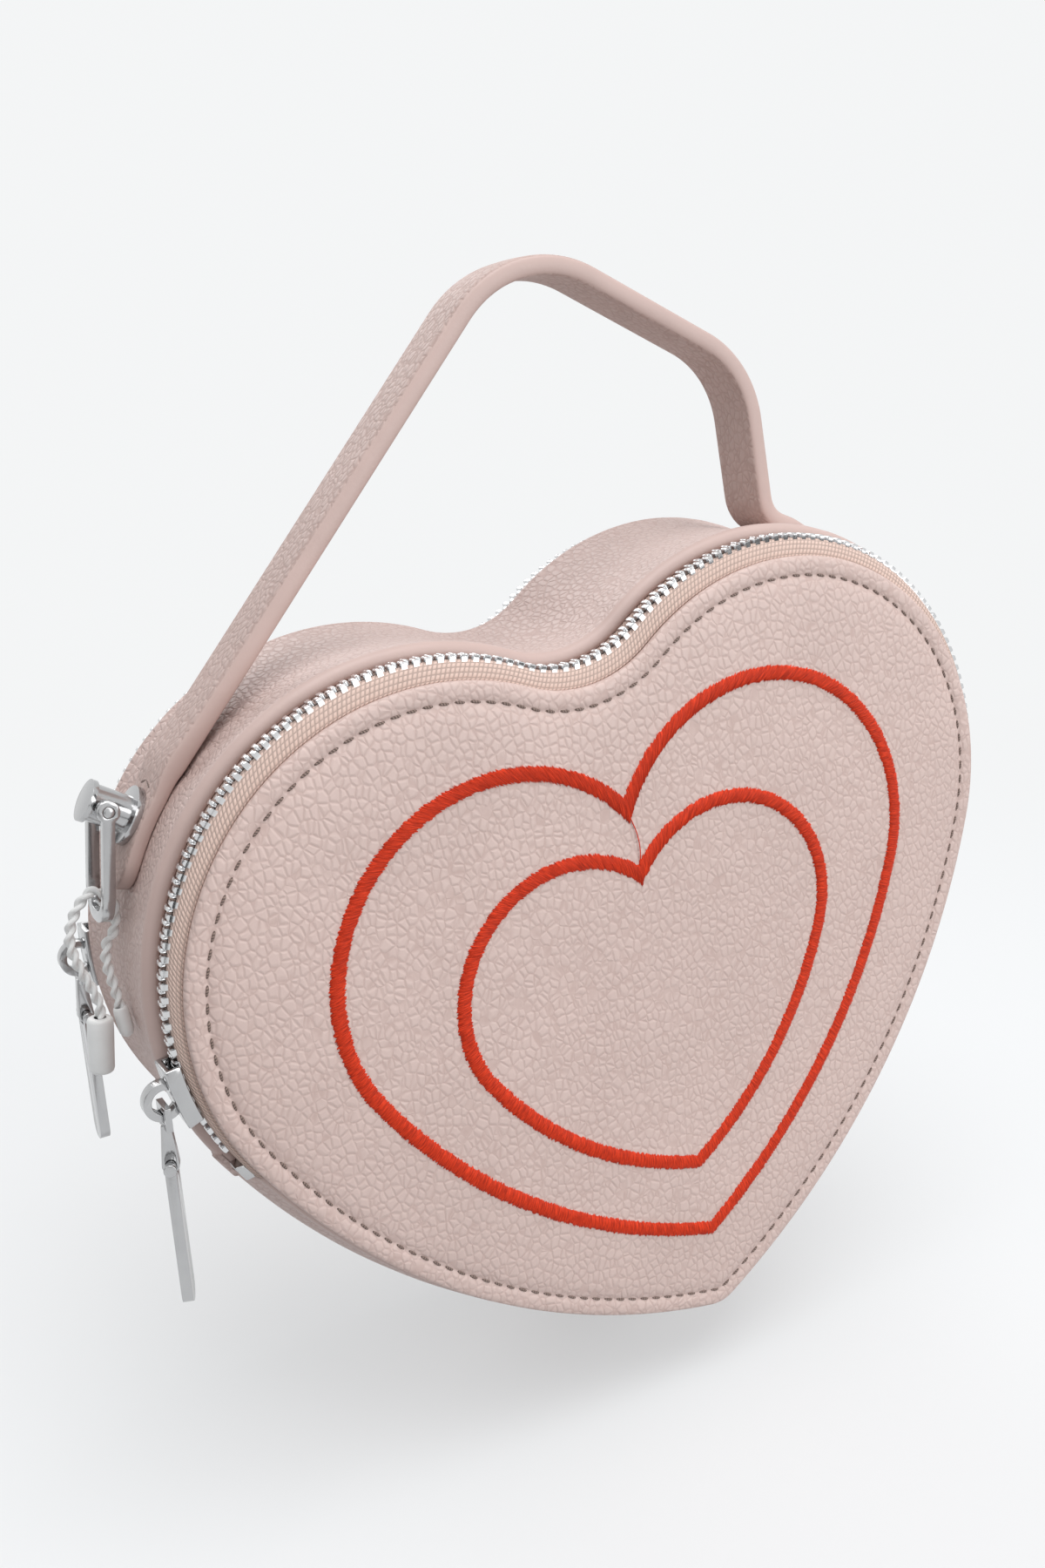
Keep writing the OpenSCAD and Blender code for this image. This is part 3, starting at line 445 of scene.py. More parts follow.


# Seams: short stitches of grey-brown twisted thread in a groove 4 mm inside each panel's rim.
# They pass through the leather and its board.
thread_base = (0.165, 0.118, 0.100)
thread_nodes = Finish("seam_thread")
thread_run = thread_nodes.run()
twist = (thread_run[0] / (0.5 * mm) + thread_run[1] / (1.6 * mm)).sine()
ply = twist.maths("ABSOLUTE", twist)
# The thread is painted darker in the twist's grooves, as painted shade, and lighter on its crests, as painted
# highlight.
thread_finish = thread_nodes.finish(Roughness=0.7, Normal=thread_nodes.relief(ply, 0.1 * mm),
    Base_Color=thread_nodes.between(ply, tint(thread_base, 0.45), tint(thread_base, 1.7)))
stitch_pitch, stitch_long, thread_r = 3.3 * mm, 2.7 * mm, 0.27 * mm


def step_at(reach, at):
    """Which step of a line a distance falls in, and the share of that step before it."""
    i = min(max(int(np.searchsorted(reach, at)), 1), len(reach) - 1)
    return i, (at - reach[i - 1]) / max(reach[i] - reach[i - 1], 1e-9)


def tube_faces(start, rings, sides):
    """The walls and both ends of a tube whose points begin at start."""
    faces = []
    for ring in range(rings - 1):
        for j in range(sides):
            a, b = start + ring * sides + j, start + ring * sides + (j + 1) % sides
            faces.append((a, b, b + sides, a + sides))
    last = start + (rings - 1) * sides
    return faces + [tuple(range(start + sides - 1, start - 1, -1)), tuple(range(last, last + sides))]


def round_row(centre, first, second, radius, sides):
    """Points round a centre, in the plane of two directions."""
    return [centre + (first * math.cos(w) + second * math.sin(w)) * radius
        for w in (2 * math.pi * j / sides for j in range(sides))]


def stitches(name, spots, outs, finish, pitch=stitch_pitch, long=stitch_long, radius=thread_r, slant=0.1):
    """Short stitches along a line of points, each dipping into the leather at both ends."""
    reach = distances(spots)
    count = round(reach[-1] / pitch)
    points, faces, run = [], [], []
    sides, rings = 7, 9
    for k in range(count):
        middle = (k + 0.5) * reach[-1] / count
        rows = []
        for ring in range(rings):
            t = ring / (rings - 1) * 2 - 1
            at = min(max(middle + t * long / 2, 0), reach[-1])
            i, share = step_at(reach, at)
            spot, out = spots[i - 1].lerp(spots[i], share), outs[i - 1].lerp(outs[i], share).normalized()
            along = (spots[i] - spots[i - 1]).normalized()
            across = along.cross(out).normalized()
            thick = radius * (1 - 0.55 * abs(t) ** 3)
            centre = (spot + out * radius * (0.55 - 2.1 * abs(t) ** 3.2)
                + across * (slant * t * radius * 4))
            rows.append(round_row(centre, across, out * 0.85, thick, sides))
        faces += tube_faces(len(points), rings, sides)
        points += [spot for row in rows for spot in row]
        run += [(ring * long / rings, j * 0.25 * mm) for ring in range(rings) for j in range(sides)]
    mesh = meshed(name, points, faces, finish)
    uv = mesh.uv_layers.new(name="run")
    uv.data.foreach_set("uv", np.array([run[loop.vertex_index] for loop in mesh.loops]).ravel())
    mesh.shade_smooth()
    piece = added(name, mesh)
    return piece


for name, side in both_sides:
    line = both_halves(right_half(-seam_in))
    line.append(line[0])
    seam = stitches(name + "_seam", [Vector(place(x, 0.3 * mm, z, side)) for x, z in line],
        [Vector((0, -side, 0))] * len(line), thread_finish)
    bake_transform(seam)
    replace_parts(seam, name + "_stitching", "foot_stitching")


# Embroidery: two nested hearts in red satin stitch on the front panel. Each band is a row of
# threads laid side by side across it, with uneven ends, and one loose thread joins the hearts.
edge_spots = both_halves(right_half(rim_profile[-1][0] * mm))
edge_angles = np.array([math.atan2(z - heart_centre[1], x - heart_centre[0]) for x, z in edge_spots])
edge_reach = np.array([math.dist(spot, heart_centre) for spot in edge_spots])
edge_order = np.argsort(edge_angles)


def leather_s(x, z):
    """Depth of the panel leather's surface at a place well inside its rim."""
    angle = math.atan2(z - heart_centre[1], x - heart_centre[0])
    reach = np.interp(angle, edge_angles[edge_order], edge_reach[edge_order], period=2 * math.pi)
    return puffed(max(0, reach - math.dist((x, z), heart_centre)))


def stitched_half(shape, growth, step):
    """Half of an embroidered heart from its point to its valley, moved out by growth."""
    lobe_at, lobe_up, lobe, side_big, drop = shape
    centre = (lobe_at - (side_big - lobe) * math.cos(drop), lobe_up + (side_big - lobe) * math.sin(drop))
    r = side_big + growth
    first = -math.acos(-centre[0] / r)
    count = round(abs(-drop + math.acos(-centre[0] / side_big)) * side_big / step)
    points = [(centre[0] + r * math.cos(a), centre[1] + r * math.sin(a))
        for a in np.linspace(first, -drop, count + 1)]
    r = lobe + growth
    last = math.acos(-lobe_at / r)
    count = round((math.acos(-lobe_at / lobe) + drop) * lobe / step)
    return points + [(lobe_at + r * math.cos(a), lobe_up + r * math.sin(a))
        for a in np.linspace(-drop, last, count + 1)[1:]]


red = (0.790, 0.040, 0.010)
red_nodes = Finish("red_thread")
red_run = red_nodes.node("ShaderNodeUVMap", {"uv_map": "run"})
strands = red_nodes.strands(0.28 * mm, 2.5 * mm, 2.0)
gloss = red_nodes.node("ShaderNodeTexNoise", None, {"Vector": red_run, "Scale": 90.0, "Detail": 2.0})
strand_height = red_nodes.steps(strands, 0.25, 0.75)
red_nodes.set(red_nodes.shader, "Specular IOR Level", 0.2)
# Between the strands the thread is painted darker, as painted shade, and the strands' tops lighter, as
# painted highlight.
red_finish = red_nodes.finish(Roughness=0.44 + gloss * 0.16,
    Normal=red_nodes.relief(strand_height, 0.09 * mm, 0.8),
    Base_Color=red_nodes.between(strand_height, tint(red, 0.5), (0.90, 0.062, 0.016)))
stitch_step = 0.36 * mm
chance = random.Random(7)
band_shape = [(-1.62, -0.14), (-1.5, 0.1), (-1.15, 0.36), (-0.6, 0.5), (0, 0.55), (0.6, 0.5), (1.15, 0.36),
    (1.5, 0.1), (1.62, -0.14)]


def satin_band(name, shape, nodes):
    halves = [both_halves(stitched_half(shape, across * mm, stitch_step / 2)) for across, h in band_shape]
    count = min(len(half) for half in halves)
    rows = []
    for i in range(count):
        ridge = 0.075 if i % 2 else -0.075
        ends = (chance.uniform(-0.3, 0.24), chance.uniform(-0.3, 0.24))
        skew = chance.uniform(-0.05, 0.05)
        row = []
        for j, (across, height) in enumerate(band_shape):
            x, z = halves[j][i]
            if j in (0, 1, len(band_shape) - 2, len(band_shape) - 1):
                inner_x, inner_z = halves[4][i]
                share = 1 + (ends[0] if j < 4 else ends[1]) / 1.5
                x, z = inner_x + (x - inner_x) * share, inner_z + (z - inner_z) * share
            high = (height + ridge + skew * (across > 0)) * mm
            row.append(place(x, leather_s(x, z) - high, z))
        rows.append(row)
    piece = grid_piece(name, rows, [red_finish], ring=True)
    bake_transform(piece)
    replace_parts(piece, *nodes)


outer_shape = (31.4 * mm, -5 * mm, 37.6 * mm, 135 * mm, math.radians(25))
inner_shape = (19.3 * mm, -16 * mm, 26 * mm, 86 * mm, math.radians(26))
satin_band("outer_heart", outer_shape, ("embroidery_outer", "foot_embroidery_outer"))
satin_band("inner_heart", inner_shape, ("embroidery_inner", "foot_embroidery_inner"))
loose = []
for t in np.linspace(0, 1, 14):
    x = (0.3 + 0.9 * math.sin(math.pi * t) - 0.2 * t) * mm
    z = (14.2 - 11.8 * t) * mm
    loose.append(Vector(place(x, leather_s(x, z) - (0.12 + 0.3 * math.sin(math.pi * t)) * mm, z)))


def round_tube(name, spots, radius, sides, finish, twist=None):
    """A tube along points; twist gives each ring's (offset angle, offset radius)."""
    rows = []
    side_way = Vector((0, 1, 0))
    for i, spot in enumerate(spots):
        along = (spots[min(i + 1, len(spots) - 1)] - spots[max(i - 1, 0)]).normalized()
        side_way = (side_way - along * along.dot(side_way)).normalized()
        other = along.cross(side_way)
        centre = spot
        if twist:
            angle, off = twist(i)
            centre = spot + (side_way * math.cos(angle) + other * math.sin(angle)) * off
        rows.append(round_row(centre, side_way, other, radius, sides))
    return grid_piece(name, rows, [finish], loop=True)


jump = round_tube("jump_thread", loose, 0.11 * mm, 6, red_finish)
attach(jump, "front_flap")


# Handle: a leather strap in one piece with its two tabs, which lie on the lobes. Its edges are
# cut and painted smooth.
edge_pink = (0.560, 0.415, 0.378)
# The strap's leather is painted darker than the gusset's, as painted shade.
strap_finish = pebbled("strap_leather", (0.540, 0.402, 0.365), 2.0 * mm, 0.13 * mm, (1, 1.4, 1), 0.58)
edge_nodes = Finish("painted_edge")
edge_bumps = edge_nodes.noise(1.1 * mm, 3.0, 0.55)
edge_finish = edge_nodes.finish(Roughness=0.38 + edge_bumps * 0.14,
    Normal=edge_nodes.relief(edge_bumps, 0.05 * mm, 0.7),
    Base_Color=edge_nodes.between(edge_nodes.noise(9 * mm), tint(edge_pink, 0.93),
        tint(edge_pink, 1.06)))
strap_w, strap_t, tab_t = 13 * mm, 3.8 * mm, 2.8 * mm
tab_in_r = lobe_r + 2.856 * mm
left_angle, right_angle = math.radians(129.788), math.radians(56.3805)
left_run, right_run = 24 * mm, 52 * mm
strap_corners = (((15.8, 126.6), 25), ((66.6, 90.4), 22), ((65.4, 57), 8))


def lobe_point(side, radius, angle):
    return Vector((side * lobe_x + radius * math.cos(angle), gusset_rise + radius * math.sin(angle)))


def rounded_path(first, corners, last, step=1.2 * mm):
    """Points from first to last, straight but for an arc at each corner."""
    points = [first]
    for k, (corner, radius) in enumerate(corners):
        after = corners[k + 1][0] if k + 1 < len(corners) else last
        before = corners[k - 1][0] if k else first
        come, leave = (corner - before).normalized(), (after - corner).normalized()
        turn = math.acos(come.dot(leave))
        way = 1 if come.x * leave.y - come.y * leave.x > 0 else -1
        cut = radius * math.tan(turn / 2)
        centre = corner - come * cut + Vector((-come.y, come.x)) * way * radius
        start = corner - come * cut - centre
        count = max(4, math.ceil(turn * radius / step))
        arc = [centre + Matrix.Rotation(way * turn * i / count, 2) @ start for i in range(count + 1)]
        gap = (arc[0] - points[-1]).length
        lines = max(1, math.ceil(gap / step))
        points += [points[-1].lerp(arc[0], i / lines) for i in range(1, lines)] + arc
    lines = max(1, math.ceil((last - points[-1]).length / step))
    return points + [points[-1].lerp(last, i / lines) for i in range(1, lines + 1)]


left_end = lobe_point(-1, tab_in_r + strap_t / 2, left_angle)
right_end = lobe_point(1, tab_in_r + strap_t / 2, right_angle)
strap_line = rounded_path(left_end, [(Vector(c) * mm, r * mm) for c, r in strap_corners], right_end)


def tab_line(side, start, run, way):
    """Points along a tab, from the strap's end to the tab's round end."""
    count = round(run / (1.1 * mm))
    return [lobe_point(side, tab_in_r + tab_t / 2 + (strap_t - tab_t) / 2 * max(0, 1 - k / 4),
        start + way * run / (tab_in_r + tab_t) * k / count) for k in range(1, count + 1)]


handle_line = (tab_line(-1, left_angle, left_run, 1)[::-1] + strap_line
    + tab_line(1, right_angle, right_run, -1))
handle_run = distances(handle_line)


def strap_section(width, thick):
    """Points round the strap's section as (across, up), from the middle of the top; the painted
    edges bulge a little and the faces are slightly crowned."""
    w, h, r = width / 2, thick / 2, min(width, thick) * 0.3
    top = [(w * t, h + 0.22 * mm * (1 - t * t)) for t in (0, 0.3, 0.6, 0.8)]
    top += [(w - r * 0.55, h - 0.02 * mm), (w - r * 0.2, h - r * 0.22)]
    quarter = top + [(w - r * 0.02, h - r * 0.62), (w + 0.12 * mm, h * 0.3), (w + 0.15 * mm, 0)]
    right = quarter + [(x, -y) for x, y in reversed(quarter[:-1])]
    return right + [(-x, y) for x, y in reversed(right[1:-1])]


def cap_ends(piece, width):
    """Closes both ends of a sheet whose rows are loops of this many points."""
    mesh = bmesh.new()
    mesh.from_mesh(piece.data)
    mesh.verts.ensure_lookup_table()
    for first in (0, len(mesh.verts) - width):
        mesh.faces.new([mesh.verts[first + j] for j in range(width)])
    bmesh.ops.recalc_face_normals(mesh, faces=mesh.faces)
    mesh.to_mesh(piece.data)
    mesh.free()


rows = []
round_end = strap_w / 2
total_run = handle_run[-1]
for i, point in enumerate(handle_line):
    a, b = handle_line[max(i - 1, 0)], handle_line[min(i + 1, len(handle_line) - 1)]
    along = (b - a).normalized()
    normal = Vector((-along.y, along.x))
    end = min(handle_run[i], total_run - handle_run[i])
    from_root = min(handle_run[i] - left_run, total_run - right_run - handle_run[i])
    inside = min(1, (end + 0.05 * mm) / round_end)
    width = strap_w * math.sqrt(max(0.0004, 1 - (1 - inside) ** 2))
    thick = tab_t + (strap_t - tab_t) * min(1, max(0, (from_root + 4 * mm) / (6 * mm)))
    pinch = 0.35 * mm * math.exp(-((from_root - 3 * mm) / (5 * mm)) ** 2)
    row = []
    for across, out in strap_section(width, thick):
        spot = point + normal * (out + pinch * (1 if out > 0 else 0))
        row.append((heart_x + spot.x, across, heart_z + spot.y))
    rows.append(row)
round_count = len(rows[0])
edge_columns = {j for j in range(round_count) if 5 <= j % (round_count // 2) < round_count // 2 - 5}
strap = grid_piece("strap_leather", rows, [strap_finish, edge_finish], loop=True,
    finish_of=lambda i, j: 1 if j in edge_columns else 0)
cap_ends(strap, round_count)
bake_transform(strap)
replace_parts(strap, "handle_strap", "left_tab", "right_tab")


# Each tab is held by one cross of thread, between the strap and its post.
cross_turn = math.radians(2.401)
cross_w, cross_h, cross_long = 4.7 * mm, 1.6 * mm, 9.8 * mm
for side, angle, way, name in ((-1, left_angle, 1, "left"), (1, right_angle, -1, "right")):
    angle += way * cross_turn
    out = Vector((math.cos(angle), 0, math.sin(angle)))
    for slope in (-1, 1):
        spots = []
        for k in (-1, 1):
            spot = lobe_point(side, tab_in_r + tab_t + 0.1 * mm, angle + way * k * slope * cross_h / tab_in_r)
            spots.append(Vector((heart_x + spot.x, k * cross_w, heart_z + spot.y)))
        cross = stitches(name + "_tab_cross", spots, [out, out], thread_finish, cross_long, cross_long,
            0.4 * mm, 0)
        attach(cross, "case")
        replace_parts(cross, "tab_stitches")


# Gusset: a leather strip over the lobes between the two zips, and another round the point that
# meets the panels. Their edges are rolled and painted, and the middle sags between them.
gusset_finish = pebbled("gusset_leather", (0.600, 0.455, 0.418), 1.5 * mm, 0.17 * mm, (1, 0.72, 1))
gusset_edge, gusset_sag = 4.4, 1.8
crest = 10.3
half_s = half_depth / mm


def mirrored(half):
    """A half section and its twin behind the middle; columns are (growth, depth, raised share)."""
    return half + [(d, 2 * half_s - s, f) for d, s, f in reversed(half) if s < half_s - 0.01]


def top_part(count):
    first = height_index(fold_z)
    return list(range(first, count - first + 1))


def foot_part(count):
    first = height_index(fold_z)
    return list(range(count - first, count)) + list(range(0, first + 1))


def around(columns, part, side=1):
    """Rows of points along a part of the outline, one row for each section."""
    paths = [raised(both_halves(right_half(d * mm)), f) for d, s, f in columns]
    return [[place(path[k][0], s * mm, path[k][1], side) for path, (d, s, f) in zip(paths, columns)]
        for k in part(len(paths[0]))]


def sag_run(start, count):
    reach = half_s - crest
    return [(gusset_edge - gusset_sag * (1 - ((half_s - s) / reach) ** 2), s, 1)
        for s in np.linspace(start, half_s, count)]


band_roll = [(1.55, 8.55, 1), (2.3, 8.42, 1), (2.95, 8.5, 1), (3.5, 8.72, 1), (3.95, 9.1, 1), (4.28, 9.62, 1),
    (4.42, 10.2, 1), (4.40, 10.75, 1), (4.26, 11.05, 1), (4.2, 11.3, 1)]
band_out = mirrored(band_roll + sag_run(11.8, 13))
band_under = mirrored([(1.45, 10, 1), (1.4, 13, 1), (1.0, 20, 1), (1.0, half_s, 1)])
band_columns = band_out + band_under[::-1]
band_rows = around(band_columns, top_part)
pull_folds = ((3.5, 0.75), (9.5, 0.55), (15.5, 0.35))
fold_off, fold_lean, fold_wide, fold_long = 9, 0.3, 2.3, 7


def folded(spot):
    """Soft folds beside the strap's roots, where the handle's pull gathers the leather."""
    x, y, z = spot[0] - heart_x, spot[1], spot[2] - heart_z - gusset_rise
    side = -1 if x < 0 else 1
    angle = math.atan2(z, x - side * lobe_x)
    from_strap = (left_angle - angle if side < 0 else angle - right_angle) * lobe_r / mm
    off = abs(y) / mm - fold_off
    deep = sum(depth * math.exp(-((from_strap - at - fold_lean * off) / fold_wide) ** 2)
        for at, depth in pull_folds)
    deep *= math.exp(-(off / fold_long) ** 2) * mm if from_strap > -4 else 0
    return (spot[0] - deep * math.cos(angle), y, spot[2] - deep * math.sin(angle))


for band_row in band_rows:
    band_row[:len(band_out)] = [folded(spot) for spot in band_row[:len(band_out)]]
band = grid_piece("gusset_band", band_rows, [gusset_finish, edge_finish], loop=True,
    finish_of=lambda i, j: 0 if 6 <= j < len(band_out) - 7 else 1)
cap_ends(band, len(band_columns))

base_roll = [(-0.25, 1.85, 0), (0.15, 1.86, 0), (0.6, 2.05, 0.1), (1.0, 2.5, 0.25), (1.35, 3.1, 0.4),
    (1.75, 3.75, 0.6), (2.3, 4.5, 0.75), (2.9, 5.5, 0.85), (3.4, 6.6, 0.95), (3.85, 8, 1), (4.2, 9.3, 1),
    (4.38, 10.3, 1)]
base_out = mirrored(base_roll + sag_run(11.4, 13))
base_under = mirrored([(-0.5, 2.6, 0), (-0.5, 4.1, 0.2), (1.4, 9, 1), (1.0, half_s, 1)])
base_columns = base_out + base_under[::-1]
base_rows = around(base_columns, foot_part)
base = grid_piece("base_gusset", base_rows, [gusset_finish, edge_finish], loop=True,
    finish_of=lambda i, j: 1 if j < 4 or len(base_out) - 5 <= j else 0)
cap_ends(base, len(base_columns))

# The strip round the point is folded over the ends of the other, in a short lap.
lap_columns = [(d + 0.5, s, f) for d, s, f in mirrored(band_roll[2:] + sag_run(11.8, 13))]
lap_first = height_index(fold_z) - 1
lap_rows, lap_low = (around([(d - down, s, f) for d, s, f in lap_columns],
    lambda count: range(lap_first, lap_first + 4)) for down in (0, 0.9))
for name, mirror in (("right_lap", 1), ("left_lap", -1)):
    rows = [[(heart_x + mirror * (x - heart_x), y, z) for x, y, z in row]
        for row in [lap_low[0], *lap_rows, lap_low[-1]]]
    lap = grid_piece(name, rows, [gusset_finish], flip=mirror < 0)
    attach(lap, "case")
for piece, node in ((band, "gusset_band"), (base, "base_gusset")):
    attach(piece, "case")
    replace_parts(piece, node)


# Linings: woven cotton glued inside each panel and under the gusset, and over both faces of the
# board that divides the purse into two compartments. Its threads are drawn over and under.
lining_pink = (0.520, 0.372, 0.330)
lining_rings = 24


def woven(name, base, pitch, across, up):
    """Plain woven cloth; across and up are the two of its coordinates that the threads follow."""
    f = Finish(name)
    warp, weft = (f.node("ShaderNodeSeparateXYZ", None, {0: f.where()}, k) / pitch for k in (across, up))
    over = warp.sine() * weft.sine()
    slub = f.noise(1.4 * mm, 3.0, 0.6)
    height = f.steps(over, -1, 1) * 0.75 + slub * 0.25
    # Threads are painted darker where they pass under, as painted shade.
    shade = f.between(f.steps(over, -0.9, 0.6), tint(base, 0.74), base)
    return f.finish(Base_Color=f.between(slub * 0.3, shade, tint(base, 1.12)),
        Roughness=0.86 + slub * 0.08, Normal=f.relief(height, 0.12 * mm, 0.8))


panel_lining_finish = woven("panel_lining", lining_pink, 0.45 * mm, 0, 2)
band_lining_finish = woven("gusset_lining", lining_pink, 0.45 * mm, 1, 2)


def lined_sheet(name, profile, side):
    """A sheet over the whole heart: its rim from a profile, its middle flat but for soft waves."""
    rows = [[place(x, s * mm, z, side) for x, z in raised(both_halves(right_half(d * mm)), f)]
        for d, s, f in profile]
    d, s, f = profile[-1]
    for k in range(1, lining_rings + 1):
        row = []
        for spot in raised(both_halves(right_half(d * mm)), f):
            x, z = towards_centre(*spot, 1 - k / lining_rings)
            wave = math.sin(x / (9 * mm)) * math.sin(z / (13 * mm) + x / (21 * mm)) * min(1, k / 4)
            row.append(place(x, (s + 0.12 * wave) * mm, z, side))
        rows.append(row)
    sheet = grid_piece(name, rows, [panel_lining_finish], loop=True, flip=side > 0)
    return sheet


board_profile = [(-0.32, 1.8, 0), (-0.5, 1.9, 0), (-0.62, 2.2, 0), (-0.62, 3.5, 0), (-0.75, 3.8, 0),
    (-1.1, 3.95, 0), (-1.8, 4, 0)]
wall_profile = [(0.2, half_s, 1), (0.2, half_s - 0.6, 1), (0.05, half_s - 0.9, 1), (-0.4, half_s - 1, 1)]
for name, side in both_sides:
    sheet = lined_sheet(name + "_panel_lining", board_profile, side)
    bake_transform(sheet)
    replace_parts(sheet, name + "_lining", name + "_foot_lining")
    wall = lined_sheet(name + "_divider", wall_profile, side)
    wall.data.flip_normals()
    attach(wall, "case")
    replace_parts(wall, "divider")
lining_columns = mirrored([(0.95, 13, 1), (0.3, 13, 1), (0.22, 13.4, 1), (0.3, 19, 1), (0.22, 24, 1),
    (0.22, half_s - 1.2, 1)])
gusset_cloth = grid_piece("gusset_cloth", around(lining_columns, lambda count: list(range(count))),
    [band_lining_finish], ring=True)
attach(gusset_cloth, "case")
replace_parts(gusset_cloth, "gusset_lining")


# Zips: two long metal zips, front and back. The tape on each panel is a knitted roll that fills
# the gap beside the rim; the other tape is flat and runs in under the gusset's edge.
tape_pink = (0.700, 0.525, 0.455)


def knitted(name, base, pitch, row_pitch, depth):
    """Knitted tape: rows of small slanted loops along the piece's own run."""
    f = Finish(name)
    along, over = f.run()
    line = over / row_pitch
    row = line.maths("FLOOR", line)
    slant = (line - row - 0.5) * 0.5
    turned = along / pitch + row * 0.5 + slant
    loop_at = turned.maths("FRACT", turned)
    ridge = line - row
    bump = loop_at.sine() * ridge.sine() ** 0.6
    fuzz = f.noise(0.35 * mm, 3.0, 0.6)
    height = bump * 0.85 + fuzz * 0.15
    # Between the loops the tape is painted darker, as painted shade, and on the loops' tops a little lighter,
    # as painted highlight.
    colour = f.between(f.steps(bump, 0.05, 0.75), tint(base, 0.62), tint(base, 1.07))
    return f.finish(Base_Color=f.between(f.noise(5 * mm) * 0.35, colour, base), Roughness=0.82 + fuzz * 0.1,
        Normal=f.relief(height, depth, 0.9))


tape_finish = knitted("zip_tape", tape_pink, 0.95 * mm, 0.62 * mm, 0.2 * mm)
flat_tape_finish = knitted("flat_zip_tape", tint(tape_pink, 0.92), 0.8 * mm, 0.45 * mm, 0.12 * mm)
roll_columns = [(-0.4, 1.84, 0), (0.1, 1.86, 0), (0.5, 1.95, 0.1), (0.95, 2.15, 0.3), (1.35, 2.45, 0.55),
    (1.62, 2.85, 0.8), (1.72, 3.3, 0.95), (1.68, 3.75, 1), (1.56, 4.15, 1), (1.42, 4.45, 1), (1.38, 4.65, 1),
    (0.6, 4.65, 1), (-0.5, 3.1, 0.3)]
flat_columns = [(1.4, 5.05, 1), (1.42, 5.6, 1), (1.4, 6.8, 1), (1.34, 8.4, 1), (1.3, 12.6, 1),
    (0.65, 12.6, 1), (0.65, 5.05, 1)]
for name, side in both_sides:
    roll = grid_piece(name + "_zip_roll", around(roll_columns, top_part, side), [tape_finish], loop=True)
    cap_ends(roll, len(roll_columns))
    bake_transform(roll)
    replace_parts(roll, name + "_tape", "foot_tapes")
    flat = grid_piece(name + "_zip_flat", around(flat_columns, top_part, side), [flat_tape_finish], loop=True)
    cap_ends(flat, len(flat_columns))
    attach(flat, "case")
    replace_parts(flat, name + "_body_tape")

# The teeth are cast metal with round heads, clamped on each tape's edge, and mesh half a pitch
# apart. Each row is one piece, so that it opens with its own tape.
def plated(name, low, high):
    """Nickel plate, with faint wear that varies its gloss."""
    f = Finish(name)
    scuffs, fine_scuffs = f.noise(6 * mm, 4.0, 0.6), f.noise(0.8 * mm)
    return f.finish(Metallic=1.0, Base_Color=f.between(scuffs, (low, low, low * 1.02), (high, high, high)),
        Roughness=0.10 + scuffs * 0.08 + fine_scuffs * 0.05, Normal=f.relief(fine_scuffs, 0.02 * mm, 0.25))


# Teeth and hardware are the same nickel plate, painted lighter on the teeth and darker on the hardware, as
# painted light and shade.
tooth_finish = plated("tooth_metal", 0.62, 0.72)
metal_finish = plated("bright_metal", 0.42, 0.54)
tooth_pitch, tooth_growth, zip_foot = 2.5 * mm, 2.4 * mm, 3.6 * mm
tooth_half = [(0.22, 2.42), (0.44, 2.2), (0.5, 1.9), (0.46, 1.5), (0.48, 0.95), (0.58, 0.5), (0.56, -0.2)]
tooth_plan = [(-a, q) for a, q in reversed(tooth_half)] + tooth_half
tooth_middle = 1.1
tooth_rings = [(0.95, 1.0), (1.25, 1.0), (2.3, 1.0), (2.52, 0.88), (2.62, 0.62)]


def tooth_row(name, side, root, way, phase, body):
    """A row of teeth whose roots lie at this depth and whose heads point inward or outward."""
    path = raised(both_halves(right_half(tooth_growth, 0.8 * mm)), 1)
    low = fold_z + zip_foot + gusset_rise
    first = next(i for i, point in enumerate(path) if point[1] >= low)
    last = max(i for i, point in enumerate(path) if point[1] >= low)
    spots = [Vector(point) for point in path[first:last + 1]]
    reach = distances(spots)
    count = round(reach[-1] / tooth_pitch)
    points, faces = [], []
    for k in range(count):
        at = (k + phase) * reach[-1] / count
        i, share = step_at(reach, at)
        spot = spots[i - 1].lerp(spots[i], share)
        along = (spots[min(i + 1, len(spots) - 1)] - spots[max(i - 2, 0)]).normalized()
        out = Vector((along.y, -along.x))
        faces += tube_faces(len(points), len(tooth_rings), len(tooth_plan))
        for height, scale in tooth_rings:
            for a, q in tooth_plan:
                flat_spot = spot + out * (height * mm - tooth_growth) + along * (a * scale * mm)
                depth = root * mm + way * (tooth_middle + (q - tooth_middle) * scale) * mm
                points.append(place(flat_spot.x, depth, flat_spot.y, side))
    mesh = meshed(name, points, faces, tooth_finish)
    mesh.shade_smooth()
    fixed = bmesh.new()
    fixed.from_mesh(mesh)
    bmesh.ops.recalc_face_normals(fixed, faces=fixed.faces)
    fixed.to_mesh(mesh)
    fixed.free()
    mesh.set_sharp_from_angle(angle=math.radians(38))
    row = added(name, mesh)
    if body == "case":
        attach(row, "case")
    else:
        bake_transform(row)
    return row


for name, side in both_sides:
    panel_row = tooth_row(name + "_panel_teeth", side, 3.15, 1, 0.25, name + "_flap")
    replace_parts(panel_row, name + "_teeth", "foot_teeth")
    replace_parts(tooth_row(name + "_case_teeth", side, 6.7, -1, 0.75, "case"), name + "_body_teeth")


